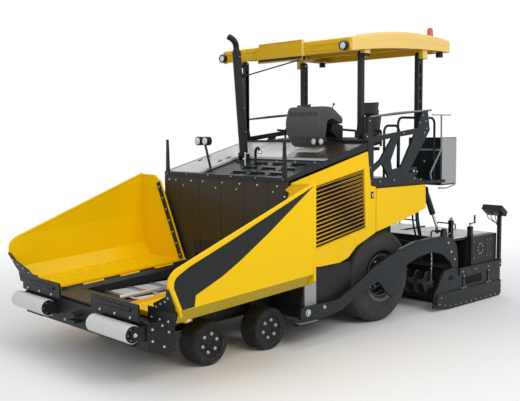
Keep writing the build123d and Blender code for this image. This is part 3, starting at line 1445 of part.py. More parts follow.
GATE_OUTLINE = (
    (908, 60), (933, 260), (1100, 480), (1172, 572), (1350, 585), (1533, 562), (2690, 562), (2690, 40),
    (2632, 12), (1263, 12),
)
for side, sign in SIDES:
    with BuildPart() as extension:
        low_x = EXTENSION_INNER_X if sign > 0 else -EXTENSION_OUTER_X
        with BuildSketch(side_plane(low_x)):
            with BuildLine():
                Polyline(
                    (EXTENSION_FRONT_Y, SCREED_LOW_Z + 20),
                    (EXTENSION_FRONT_Y + 40, SCREED_LOW_Z),
                    (EXTENSION_REAR_Y, SCREED_LOW_Z),
                    (EXTENSION_REAR_Y, SCREED_HIGH_Z),
                    (EXTENSION_FRONT_Y, SCREED_HIGH_Z),
                    close=True,
                )
            make_face()
            with Locations((GUIDE_TUBE_Y, GUIDE_TUBE_Z)):
                Circle(GUIDE_TUBE_R + 2 * PIN_GAP, mode=Mode.SUBTRACT)
        extrude(amount=EXTENSION_OUTER_X - EXTENSION_INNER_X)
        # Hollow inside, open towards the middle, with a sleeve and web round the guide tube
        hollow_x = EXTENSION_INNER_X if sign > 0 else -EXTENSION_OUTER_X + SCREED_WALL
        with BuildSketch(side_plane(hollow_x)):
            with BuildLine():
                Polyline(
                    (EXTENSION_FRONT_Y + SCREED_WALL, SCREED_LOW_Z + 70),
                    (EXTENSION_REAR_Y - SCREED_WALL, SCREED_LOW_Z + 70),
                    (EXTENSION_REAR_Y - SCREED_WALL, SCREED_HIGH_Z - SCREED_WALL),
                    (EXTENSION_FRONT_Y + SCREED_WALL, SCREED_HIGH_Z - SCREED_WALL),
                    close=True,
                )
            make_face()
            with Locations((GUIDE_TUBE_Y, GUIDE_TUBE_Z)):
                Circle(GUIDE_TUBE_R + SCREED_WALL, mode=Mode.SUBTRACT)
            with Locations(((EXTENSION_FRONT_Y + GUIDE_TUBE_Y) / 2, GUIDE_TUBE_Z)):
                Rectangle(GUIDE_TUBE_Y - EXTENSION_FRONT_Y, 60, mode=Mode.SUBTRACT)
        extrude(amount=EXTENSION_OUTER_X - EXTENSION_INNER_X - SCREED_WALL, mode=Mode.SUBTRACT)
        # Crank with its handle for the height of the extension, and a round stop on the side wall
        with BuildSketch(Plane(origin=(sign * 1195, at(1960), SCREED_HIGH_Z))):
            Rectangle(60, 60)
        extrude(amount=150)
        with BuildSketch(Plane(origin=(sign * 1195, at(1960), SCREED_HIGH_Z + 150))):
            Circle(14)
        extrude(amount=40)
        with BuildSketch(Plane(origin=(sign * 1195, at(2020), SCREED_HIGH_Z + 190))):
            Rectangle(24, 150)
        extrude(amount=12)
        with BuildSketch(Plane(origin=(sign * 1195, at(2080), SCREED_HIGH_Z + 202))):
            Circle(13)
        extrude(amount=110)
    finish(extension, f"extension_{side}")

    with BuildPart() as end_gate:
        gate_x = EXTENSION_OUTER_X if sign > 0 else -GATE_OUTER_X + 20
        with BuildSketch(side_plane(gate_x)):
            with BuildLine():
                Polyline(*[(at(y), z) for y, z in GATE_OUTLINE], close=True)
            make_face()
        extrude(amount=GATE_OUTER_X - 20 - EXTENSION_OUTER_X)
        beam_x = GATE_OUTER_X - 20 if sign > 0 else -GATE_OUTER_X
        with BuildSketch(side_plane(beam_x)):
            with BuildLine():
                Polyline((at(1533), 455), (at(2690), 455), (at(2690), 562), (at(1533), 562), close=True)
            make_face()
            with BuildLine():
                Polyline((at(950), 90), (at(1263), 12), (at(2632), 12), (at(2690), 40), (at(2690), 250),
                         (at(980), 250), close=True)
            make_face()
        extrude(amount=20)
        # Spring rods between the upper and the lower beam
        for rod_y in (1650, 2330):
            with BuildSketch(Plane(origin=(sign * (GATE_OUTER_X - 9), at(rod_y), 240))):
                Circle(9)
            extrude(amount=225)
            with BuildSketch(Plane(origin=(sign * (GATE_OUTER_X - 9), at(rod_y), 250))):
                Rectangle(18, 150)
            extrude(amount=14)
        # Control post with a tilted panel
        with BuildSketch(Plane(origin=(sign * (GATE_OUTER_X - 28), CONTROL_POST_Y, 540))):
            Rectangle(50, 50)
        extrude(amount=CONTROL_Z - 570)
        control_tilt = radians(CONTROL_TILT)
        panel_plane = Plane(
            origin=(sign * CONTROL_X, CONTROL_Y, CONTROL_Z),
            x_dir=(1, 0, 0),
            z_dir=(0, sin(control_tilt), cos(control_tilt)),
        )
        with BuildSketch(panel_plane):
            Rectangle(CONTROL_WIDE, CONTROL_TALL)
        extrude(amount=CONTROL_THICK / 2, both=True)
    finish(end_gate, f"end_gate_{side}")

# Augers: shaft with tilted flights, each turning on its own half of the cross shaft
FLIGHT_TILT = 17
for side, sign in SIDES:
    with BuildPart() as auger:
        with BuildSketch(wheel_plane(sign, AUGER_INNER_X, AUGER_Y, AUGER_Z)):
            Circle(AUGER_SHAFT_R)
            Circle(20 + PIN_GAP, mode=Mode.SUBTRACT)
        extrude(amount=AUGER_OUTER_X - AUGER_INNER_X)
        for index in range(6):
            flight = Plane(
                origin=(sign * (AUGER_INNER_X + 75 + index * 180), AUGER_Y, AUGER_Z),
                x_dir=(0, 1, 0),
                z_dir=(cos(radians(FLIGHT_TILT)), 0, sin(radians(FLIGHT_TILT))),
            )
            with BuildSketch(flight):
                Ellipse(AUGER_R - 2, AUGER_R - 8)
                Circle(AUGER_SHAFT_R - 6, mode=Mode.SUBTRACT)
            extrude(amount=12)
    finish(auger, f"auger_{side}")

with BuildPart() as auger_carrier:
    with BuildSketch(wheel_plane(1, -AUGER_OUTER_X, AUGER_Y, AUGER_Z)):
        Circle(20)
    extrude(amount=2 * AUGER_OUTER_X)
    with BuildSketch(side_plane(-AUGER_INNER_X + 10)):
        with BuildLine():
            Polyline(
                (FRAME_REAR_Y, 760),
                (AUGER_Y - 90, AUGER_Z - 90),
                (AUGER_Y + 90, AUGER_Z - 90),
                (AUGER_Y + 90, AUGER_Z + 140),
                (AUGER_Y, 1200),
                (FRAME_REAR_Y, 1400),
                close=True,
            )
        make_face()
    extrude(amount=2 * (AUGER_INNER_X - 10))
finish(auger_carrier, "auger_carrier")

# Lift cylinders: barrels on the platform's brackets, rods down to the tow arms
lift_run = Vector(0, LIFT_EYE_Y - LIFT_TOP_Y, LIFT_EYE_Z - LIFT_TOP_Z)
lift_aim = lift_run.normalized()
LIFT_BARREL_LENGTH = 370
LIFT_EYE_BORE_R = 22  # wide round the pin, since the linkage is opened here
with BuildPart() as lift_barrels:
    for side, sign in SIDES:
        root = Vector(sign * LIFT_X, LIFT_TOP_Y, LIFT_TOP_Z)
        with BuildSketch(Plane(origin=root + lift_aim * 35, x_dir=(1, 0, 0), z_dir=lift_aim)):
            Circle(LIFT_BARREL_R)
            Circle(LIFT_ROD_R + PIN_GAP, mode=Mode.SUBTRACT)
        extrude(amount=LIFT_BARREL_LENGTH)
        with BuildSketch(wheel_plane(sign, LIFT_X - 30, LIFT_TOP_Y, LIFT_TOP_Z)):
            Circle(45)
            Circle(20 + PIN_GAP, mode=Mode.SUBTRACT)
        extrude(amount=60)
finish(lift_barrels, "lift_barrels")

with BuildPart() as lift_rods:
    for side, sign in SIDES:
        root = Vector(sign * LIFT_X, LIFT_TOP_Y, LIFT_TOP_Z)
        start = LIFT_BARREL_LENGTH - 60
        with BuildSketch(Plane(origin=root + lift_aim * start, x_dir=(1, 0, 0), z_dir=lift_aim)):
            Circle(LIFT_ROD_R)
        extrude(amount=lift_run.length - start - 25)
        with BuildSketch(wheel_plane(sign, LIFT_X - 25, LIFT_EYE_Y, LIFT_EYE_Z)):
            Circle(38)
            Circle(LIFT_EYE_BORE_R, mode=Mode.SUBTRACT)
        extrude(amount=50)
finish(lift_rods, "lift_rods")
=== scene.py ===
from math import cos, exp, pi, radians, sin, tan

import bmesh
import bpy
from mathutils import Matrix, Vector


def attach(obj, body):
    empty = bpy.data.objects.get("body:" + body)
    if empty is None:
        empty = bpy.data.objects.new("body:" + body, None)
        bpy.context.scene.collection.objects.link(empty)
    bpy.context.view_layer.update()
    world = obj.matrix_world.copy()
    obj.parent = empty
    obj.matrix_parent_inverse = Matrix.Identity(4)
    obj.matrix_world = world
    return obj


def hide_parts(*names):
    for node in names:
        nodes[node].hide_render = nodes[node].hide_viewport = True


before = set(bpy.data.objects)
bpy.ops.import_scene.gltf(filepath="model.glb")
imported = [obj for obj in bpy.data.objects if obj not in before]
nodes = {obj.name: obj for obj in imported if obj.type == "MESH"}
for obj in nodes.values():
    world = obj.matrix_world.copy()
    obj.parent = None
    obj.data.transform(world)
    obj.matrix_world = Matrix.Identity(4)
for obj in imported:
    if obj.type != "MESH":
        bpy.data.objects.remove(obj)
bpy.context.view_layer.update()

# Places are written as the left side has them: x out from the middle, y behind the rear axle, z up from the ground.
# Shape.put mirrors them for the right side and moves them into the frame.
AXLE_Y = 0.7215
SIDES = (("left", 1), ("right", -1))
TIP = 0.0002  # radius that ends a spun profile next to its axis
OUT, FRONT, UP = (1, 0, 0), (0, -1, 0), (0, 0, 1)

# ---- materials


def rgb(red, green, blue):
    """Linear colour of an sRGB one given as 0 to 255."""
    shares = [value / 255 for value in (red, green, blue)]
    return (*[s / 12.92 if s <= 0.04045 else ((s + 0.055) / 1.055) ** 2.4 for s in shares], 1.0)


def scaled(color, factor):
    return (*[min(1.0, c * factor) for c in color[:3]], 1.0)


class Tree:
    """Short ways to add and join shader nodes."""

    def __init__(self, name):
        self.material = bpy.data.materials.new(name)
        self.material.use_nodes = True
        self.tree = self.material.node_tree
        self.shader = self.tree.nodes["Principled BSDF"]
        self.place = self.add("ShaderNodeTexCoord").outputs["Object"]

    def add(self, kind, **values):
        node = self.tree.nodes.new(kind)
        for key, value in values.items():
            setattr(node, key, value)
        return node

    def join(self, output, target):
        self.tree.links.new(output, target)

    def feed(self, key, output):
        self.join(output, self.shader.inputs[key])

    def set(self, **values):
        """Plain values on the shader's own sockets; an underscore stands for a space."""
        for key, value in values.items():
            self.shader.inputs[key.replace("_", " ")].default_value = value

    def noise(self, scale, detail, rough, stretch=None):
        node = self.add("ShaderNodeTexNoise")
        for key, value in (("Scale", scale), ("Detail", detail), ("Roughness", rough)):
            node.inputs[key].default_value = value
        source = self.place
        if stretch:
            mapping = self.add("ShaderNodeMapping")
            mapping.inputs["Scale"].default_value = stretch
            self.join(source, mapping.inputs["Vector"])
            source = mapping.outputs["Vector"]
        self.join(source, node.inputs["Vector"])
        return node.outputs["Fac"]

    def levels(self, value, low, high, out_low=0.0, out_high=1.0):
        node = self.add("ShaderNodeMapRange")
        for key, level in (("From Min", low), ("From Max", high), ("To Min", out_low), ("To Max", out_high)):
            node.inputs[key].default_value = level
        self.join(value, node.inputs["Value"])
        return node.outputs["Result"]

    def times(self, first, second):
        node = self.add("ShaderNodeMath", operation="MULTIPLY")
        self.join(first, node.inputs[0])
        if isinstance(second, float):
            node.inputs[1].default_value = second
        else:
            self.join(second, node.inputs[1])
        return node.outputs[0]

    def mix(self, share, first, second):
        node = self.add("ShaderNodeMix", data_type="RGBA")
        self.join(share, node.inputs["Factor"])
        for value, socket in ((first, node.inputs[6]), (second, node.inputs[7])):
            if isinstance(value, tuple):
                socket.default_value = value
            else:
                self.join(value, socket)
        return node.outputs[2]

    def clouded(self, color, vary, noise):
        return self.mix(self.levels(noise, 0.3, 0.7), scaled(color, 1 - vary), scaled(color, 1 + vary))

    def split(self, vector):
        node = self.add("ShaderNodeSeparateXYZ")
        self.join(vector, node.inputs[0])
        return node.outputs

    def low(self, top, floor):
        """0 above the height top, 1 below the height floor."""
        return self.levels(self.split(self.place)["Z"], top, floor)

    def zone(self, kind):
        """1 on one group of faces, told by which way they look or how low they lie. The tints laid on the under and
        band groups are painted shade.
        """
        normal = self.split(self.add("ShaderNodeTexCoord").outputs["Normal"])
        if kind == "low":
            return self.low(3.552, 3.548)
        # Faces that look down; the roof's darker yellow on them is painted shade
        if kind == "under":
            return self.levels(normal["Z"], -0.30, -0.55)
        if kind == "front":
            return self.levels(normal["Y"], -0.45, -0.70)
        # The outer band below a wing's side, which turns under towards the hinge: its darker tint is painted shade
        outward = self.times(self.split(self.place)["X"], normal["X"])
        return self.times(self.levels(normal["Z"], -0.10, -0.22), self.levels(outward, 0.1, 0.4))

    def edges(self, radius):
        """1 on rounded edges and 0 on flats, and the rounded normal."""
        bevel = self.add("ShaderNodeBevel", samples=6)
        bevel.inputs["Radius"].default_value = radius
        dot = self.add("ShaderNodeVectorMath", operation="DOT_PRODUCT")
        self.join(bevel.outputs["Normal"], dot.inputs[0])
        self.join(self.add("ShaderNodeNewGeometry").outputs["Normal"], dot.inputs[1])
        return self.levels(dot.outputs["Value"], 0.985, 0.80), bevel.outputs["Normal"]

    def bump(self, height, strength, distance, normal=None):
        node = self.add("ShaderNodeBump")
        node.inputs["Strength"].default_value = strength
        node.inputs["Distance"].default_value = distance
        self.join(height, node.inputs["Height"])
        if normal:
            self.join(normal, node.inputs["Normal"])
        self.feed("Normal", node.outputs["Normal"])


def painted(name, color, rough, coat, vary, dust=0.0, wear=0.35, peel=0.05, spec=0.22, worn=None, zones=()):
    """Paint or coated steel: clouded colour, orange peel, dust low down, and edges rubbed lighter."""
    t = Tree(name)
    shade = t.clouded(color, vary, t.noise(1.3, 5.0, 0.6))
    # Tints on groups of faces; the under and band tints are painted shade
    for tint, kind in zones:
        shade = t.mix(t.zone(kind), shade, tint)
    if dust:
        speckle = t.levels(t.noise(34.0, 6.0, 0.7), 0.46, 0.70)
        shade = t.mix(t.times(t.times(speckle, t.low(1.15, 0.15)), dust * 4), shade, (0.42, 0.36, 0.28, 1.0))
    edge_mask, normal = t.edges(0.0035)
    rub = t.times(edge_mask, t.levels(t.noise(22.0, 6.0, 0.75), 0.42, 0.62, 0.0, wear))
    lighter = 1.9 if max(color[:3]) < 0.2 else 1.25
    t.feed("Base Color", t.mix(rub, shade, worn or scaled(color, lighter)))
    t.feed("Roughness", t.levels(t.noise(11.0, 5.0, 0.65), 0.3, 0.7, max(0.05, rough - 0.08), rough + 0.1))
    t.set(Coat_Weight=coat, Coat_Roughness=0.08, Specular_IOR_Level=spec)
    t.bump(t.noise(170.0, 3.0, 0.5), peel, 0.002, normal)
    return t.material


def rubber(name, color, rough=0.62, grain=120.0, dust=0.35):
    """Dull clouded rubber with a fine grain and dust low down."""
    t = Tree(name)
    shade = t.clouded(color, 0.25, t.noise(3.0, 6.0, 0.65))
    scuff = t.levels(t.noise(26.0, 8.0, 0.75), 0.52, 0.72)
    shade = t.mix(t.times(t.times(scuff, t.low(1.3, 0.0)), dust), shade, (0.30, 0.27, 0.23, 1.0))
    t.feed("Base Color", shade)
    t.feed("Roughness", t.levels(t.noise(15.0, 6.0, 0.7), 0.3, 0.7, rough - 0.1, rough + 0.15))
    t.set(Specular_IOR_Level=0.2)
    t.bump(t.noise(grain, 6.0, 0.7), 0.25, 0.003)
    return t.material


def metal(name, color, rough, vary=0.10, brushed=(1.0, 60.0, 60.0)):
    """Bare metal with brushed lines, which also vary its gloss."""
    t = Tree(name)
    lines = t.noise(9.0, 6.0, 0.7, brushed)
    shade = t.clouded(color, vary, t.noise(4.0, 5.0, 0.6))
    t.feed("Base Color", t.mix(t.levels(lines, 0.4, 0.7, 0.0, 0.35), shade, scaled(color, 0.6)))
    t.feed("Roughness", t.levels(lines, 0.3, 0.7, rough - 0.08, rough + 0.12))
    t.set(Metallic=1.0)
    t.bump(lines, 0.12, 0.001, t.edges(0.002)[1])
    return t.material


def glassy(name, color, rough, transmission, emission, cell):
    """A moulded lens with small cells."""
    t = Tree(name)
    cloud = t.levels(t.noise(20.0, 3.0, 0.5), 0.3, 0.7)
    t.feed("Base Color", t.mix(cloud, scaled(color, 0.85), scaled(color, 1.12)))
    t.set(Roughness=rough, Coat_Weight=0.8, Coat_Roughness=0.04, Transmission_Weight=transmission)
    if emission:
        t.set(Emission_Color=color, Emission_Strength=emission)
    cells = t.add("ShaderNodeTexVoronoi")
    cells.inputs["Scale"].default_value = cell
    t.join(t.place, cells.inputs["Vector"])
    t.bump(cells.outputs["Distance"], 0.35, 0.002)
    return t.material


# Painted: name, colour, roughness, coat, variation, dust
M = {
    # Yellow paint; its darker olive tint on outer faces that turn down (the band) is painted shade
    "yellow": painted("paint_yellow", rgb(240, 194, 2), 0.30, 0.08, 0.02, wear=0.2, peel=0.012, spec=0.10,
                      zones=((rgb(176, 150, 2), "band"),)),
    # Orange copy of the yellow, as the yellow looks in the hopper's shade: painted shade. The hinge covers wear it.
    "hopper": painted("paint_yellow_in_shade", rgb(226, 162, 3), 0.20, 0.30, 0.03, wear=0.06),
    "ochre": painted("paint_ochre", rgb(132, 100, 22), 0.30, 0.12, 0.08, 0.02),
    "dark": painted("paint_dark", rgb(26, 32, 36), 0.44, 0.032, 0.10, 0.02),
    "black": painted("paint_black", rgb(23, 25, 27), 0.42, 0.032, 0.12, 0.02),
    "band": painted("paint_band", rgb(19, 23, 27), 0.34, 0.12, 0.06, 0.02),
    "light": painted("paint_light", rgb(152, 154, 154), 0.34, 0.12, 0.04),
    "grey": painted("paint_grey", rgb(122, 123, 123), 0.40, 0.06, 0.07, 0.06),
    "hood": painted("paint_hood", rgb(200, 201, 203), 0.42, 0.08, 0.03, peel=0.01),
    "wall": painted("paint_wall", rgb(44, 38, 26), 0.36, 0.06, 0.10),
    # Roof shell: the cream base is a painted highlight on the lit top of a yellow shell, and the darker yellow on
    # faces that look down is painted shade. Front faces keep the yellow, and parts lower than 3.55 m are dark.
    "roof_light_and_shade": painted("roof_painted_light_and_shade", rgb(226, 192, 112), 0.34, 0.12, 0.02, wear=0.1, spec=0.15, zones=(
        (rgb(206, 164, 4), "front"), (rgb(160, 116, 4), "under"), (rgb(30, 34, 38), "low"))),
    "fascia": painted("roof_yellow", rgb(214, 172, 4), 0.30, 0.12, 0.03, 0.02, wear=0.1, spec=0.12),
    "slat": painted("grille_slat", rgb(196, 142, 52), 0.40, 0.08, 0.05),
    "plastic": painted("plastic_dark", rgb(74, 74, 75), 0.36, 0.04, 0.08, 0.02, wear=0.1, peel=0.25),
    "red": painted("paint_red", rgb(205, 22, 12), 0.35, 0.12, 0.05),
    "cast": painted("cast_engine", rgb(46, 48, 50), 0.60, 0.0, 0.15, 0.1, peel=0.4),
    "roller": painted("roller_white", rgb(205, 206, 206), 0.30, 0.12, 0.03, 0.04, wear=0.6, worn=rgb(150, 150, 148)),
    "rim": painted("rim_black", rgb(19, 20, 22), 0.20, 0.60, 0.10, wear=0.3, spec=0.5),
    # Near black: a latch housing's own black, and painted shade in the grille's gaps, behind the grille, and in the
    # end gates' hole and window
    "void": painted("black_and_painted_shade", rgb(6, 7, 8), 0.80, 0.0, 0.15, wear=0.0),
    # Brown dark gloss: on the hood panels at positive x it is a painted reflection; the hood latches and the console
    # face also use it
    "gloss": painted("dark_gloss_and_painted_reflection", rgb(60, 52, 40), 0.36, 0.10, 0.05, wear=0.15, peel=0.01),
    "leather": painted("seat_leather", rgb(66, 61, 56), 0.50, 0.02, 0.10, wear=0.0, peel=0.5),
    "plate": painted("floor_plate", rgb(200, 201, 199), 0.36, 0.04, 0.12, wear=0.5),
    "tyre": rubber("tyre_rubber", rgb(58, 56, 53)),
    "solid": rubber("wheel_rubber", rgb(40, 42, 44), grain=200.0),
    "flap": rubber("rubber_flap", rgb(34, 35, 37), rough=0.5, dust=0.15),
    "steel": metal("steel_bright", rgb(205, 206, 208), 0.24),
    "chrome": metal("rod_chrome", rgb(222, 224, 228), 0.12, vary=0.03),
    "bolt": metal("bolt_zinc", rgb(196, 198, 200), 0.30, brushed=(30.0, 30.0, 30.0)),
    "worn": metal("worn_steel", rgb(120, 118, 114), 0.42, vary=0.25, brushed=(8.0, 8.0, 8.0)),
    "beacon": glassy("beacon_lens", rgb(196, 52, 8), 0.08, 0.10, 0.10, 90.0),
    "lens": glassy("lamp_lens", rgb(206, 212, 220), 0.06, 0.0, 0.0, 60.0),
}

# ---- mesh pieces


def new_object(name, data):
    obj = bpy.data.objects.new(name, data)
    bpy.context.scene.collection.objects.link(obj)
    return obj


def basis(direction):
    """Two unit vectors square to a direction, and the direction."""
    axis = Vector(direction).normalized()
    other = Vector((0, 0, 1)) if abs(axis.z) < 0.9 else Vector((0, 1, 0))
    first = other.cross(axis).normalized()
    return first, axis.cross(first), axis


def arc(before, corner, after, bend, steps):
    """Points that turn a corner, reaching at most bend along each side."""
    reach = min(bend, (corner - before).length * 0.45, (after - corner).length * 0.45)
    start = corner + (before - corner).normalized() * reach
    end = corner + (after - corner).normalized() * reach
    shares = [i / steps for i in range(steps + 1)]
    return [start * (1 - s) ** 2 + corner * 2 * s * (1 - s) + end * s * s for s in shares]


def rounded(points, bend):
    """An open path with its inner corners turned on arcs."""
    points = [Vector(p) for p in points]
    turns = [p for three in zip(points, points[1:], points[2:]) for p in arc(*three, bend, 6)]
    return [points[0], *turns, points[-1]]


def closed_round(points, bend):
    """A closed outline with all its corners turned on arcs."""
    points = [Vector(p) for p in points]
    return [p for three in zip(points[-1:] + points, points, points[1:] + points[:1]) for p in arc(*three, bend, 5)]


def circle(centre, radius, count, start=0.0, axis=0):
    """Places evenly round a centre, in the plane square to X (axis 0) or Y (axis 1)."""
    x, y, z = centre
    for i in range(count):
        turn = 2 * pi * (i + start) / count
        a, b = radius * cos(turn), radius * sin(turn)
        yield (x, y + a, z + b) if axis == 0 else (x + a, y, z + b)


def spots(x, pairs):
    """Places with one x, from (y, z) pairs."""
    return [(x, y, z) for y, z in pairs]


class Shape:
    """Collects the faces of one piece. sign is the side that they are put on."""

    def __init__(self, sign=1):
        self.sign = sign
        self.verts, self.faces, self.slots = [], [], []

    def put(self, verts, faces, slot=0):
        base = len(self.verts)
        self.verts.extend((self.sign * x, AXLE_Y + y, z) for x, y, z in verts)
        self.faces.extend([base + i for i in face] for face in faces)
        self.slots.extend([slot] * len(faces))
        return self

    def skin(self, rings, slot=0):
        """Closed skin over rings of points, with a cap on each end."""
        n = len(rings[0])
        faces = [(i * n + k, i * n + (k + 1) % n, (i + 1) * n + (k + 1) % n, (i + 1) * n + k)
                 for i in range(len(rings) - 1) for k in range(n)]
        faces += [tuple(range(n)), tuple((len(rings) - 1) * n + k for k in range(n))]
        return self.put([v for ring in rings for v in ring], faces, slot)

    def panel(self, outline, offset, slot=0):
        """A flat plate, from its outline in space and its thickness as a vector."""
        outline = [Vector(p) for p in outline]
        return self.skin([outline, [p + Vector(offset) for p in outline]], slot)

    def plate(self, outline, low, high, slot=0):
        """A flat plate square to X, from low to high, with its outline in y and z."""
        return self.panel(spots(low, outline), (high - low, 0, 0), slot)

    def box(self, low, high, slot=0):
        (x0, y0, z0), (x1, y1, z1) = low, high
        return self.panel([(x0, y0, z0), (x1, y0, z0), (x1, y1, z0), (x0, y1, z0)], (0, 0, z1 - z0), slot)

    def block(self, centre, wide, deep, tall, slot=0):
        """A box on a foot point, from its half width and half depth."""
        x, y, z = centre
        return self.box((x - wide, y - deep, z), (x + wide, y + deep, z + tall), slot)

    def spin(self, profile, origin, direction, segments=48, slot=0, closed=False):
        """Turn (along, radius) pairs round an axis. A closed profile makes a ring."""
        a, b, axis = basis(direction)
        origin = Vector(origin)
        n = len(profile)
        verts, faces = [], []
        for i in range(segments):
            turn = 2 * pi * i / segments
            ray = a * cos(turn) + b * sin(turn)
            verts += [origin + axis * along + ray * radius for along, radius in profile]
            j = (i + 1) % segments
            for k in range(n if closed else n - 1):
                m = (k + 1) % n
                faces.append((i * n + k, j * n + k, j * n + m, i * n + m))
        if not closed:
            faces += [tuple(i * n + end for i in range(segments)) for end in (0, n - 1)]
        return self.put(verts, faces, slot)

    def rod(self, start, end, radius, segments=16, slot=0):
        along = Vector(end) - Vector(start)
        edge = min(radius * 0.15, 0.003)
        profile = [(0, radius - edge), (edge, radius), (along.length - edge, radius), (along.length, radius - edge)]
        return self.spin(profile, start, along, segments, slot)

    def border(self, points, radius, segments, slot=0):
        for start, end in zip(points, points[1:] + points[:1]):
            self.rod(start, end, radius, segments, slot)

    def pipe(self, points, radius, bend=0.05, segments=12, slot=0):
        """A round tube through points, its corners turned on arcs."""
        path = rounded(points, bend)
        rings = []
        side = None
        for i, point in enumerate(path):
            along = (path[min(i + 1, len(path) - 1)] - path[max(i - 1, 0)]).normalized()
            side = side or basis(along)[0]
            side = (side - along * side.dot(along)).normalized()
            up = along.cross(side)
            turns = [2 * pi * k / segments for k in range(segments)]
            rings.append([point + (side * cos(turn) + up * sin(turn)) * radius for turn in turns])
        return self.skin(rings, slot)

    def bolts(self, places, direction, size, slot=1, washer=True):
        """Hexagon heads, each on a washer or without one."""
        axis = Vector(direction).normalized()
        for place in places:
            if washer:
                self.spin([(0, size * 1.25), (size * 0.22, size * 1.2)], place, axis, 14, slot)
            top = Vector(place) + axis * size * 0.2
            self.spin([(0, size), (size * 0.62, size), (size * 0.75, size * 0.82)], top, axis, 6, slot)
        return self

    def studs(self, x, pairs, size, slot=1, washer=False):
        """Heads that face outwards, from (y, z) pairs."""
        return self.bolts(spots(x, pairs), OUT, size, slot, washer)

    def build(self, name, body, materials, slot, bevel=0.0, smooth=38.0, replaces=()):
        mesh = bpy.data.meshes.new(name)
        mesh.from_pydata(self.verts, [], self.faces)
        mesh.validate()
        for key in materials.split():
            mesh.materials.append(M[key])
        if len(mesh.polygons) == len(self.slots):
            mesh.polygons.foreach_set("material_index", self.slots)
        work = bmesh.new()
        work.from_mesh(mesh)
        bmesh.ops.recalc_face_normals(work, faces=work.faces)
        for face in work.faces:
            face.smooth = True
        for edge in work.edges:
            if len(edge.link_faces) == 2 and edge.calc_face_angle(0) > radians(smooth):
                edge.smooth = False
        work.to_mesh(mesh)
        work.free()
        obj = new_object(name, mesh)
        if bevel:
            mod = obj.modifiers.new("edges", "BEVEL")
            mod.width = bevel
            mod.segments = 2
            mod.limit_method = "ANGLE"
            mod.angle_limit = radians(40)
            mod.harden_normals = True
        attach(obj, body)
        if replaces:
            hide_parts(*replaces)
        return obj


# ---- bare CAD nodes get their finish

# A node takes the finish of the first start of a name that fits
FINISH = (("yellow", "rear_fenders wing_left wing_right side_door"), ("light", "side_covers"), ("hood", "hood_top"),
          ("wall", "hopper_back_wall"), ("roof_light_and_shade", "canopy"), ("cast", "engine_block"), ("plastic", "console seats"),
          ("roller", "push_roller"), ("chrome", "lift_rods wing_rod"), ("beacon", "beacon"), ("tyre", "rear_tyre"),
          ("solid", "front_wheel"),
          ("dark", "side_frames front_posts rear_posts tow_arms hood_deck exhaust handrails rear_lockers end_gate"))
for name, node in nodes.items():
    key = next((k for k, starts in FINISH if name.startswith(tuple(starts.split()))), "black")
    node.data.materials.clear()
    node.data.materials.append(M[key])

# ---- wheels

AXLE_Z = 0.623
TYRE_HALF_WIDTH = 0.1875
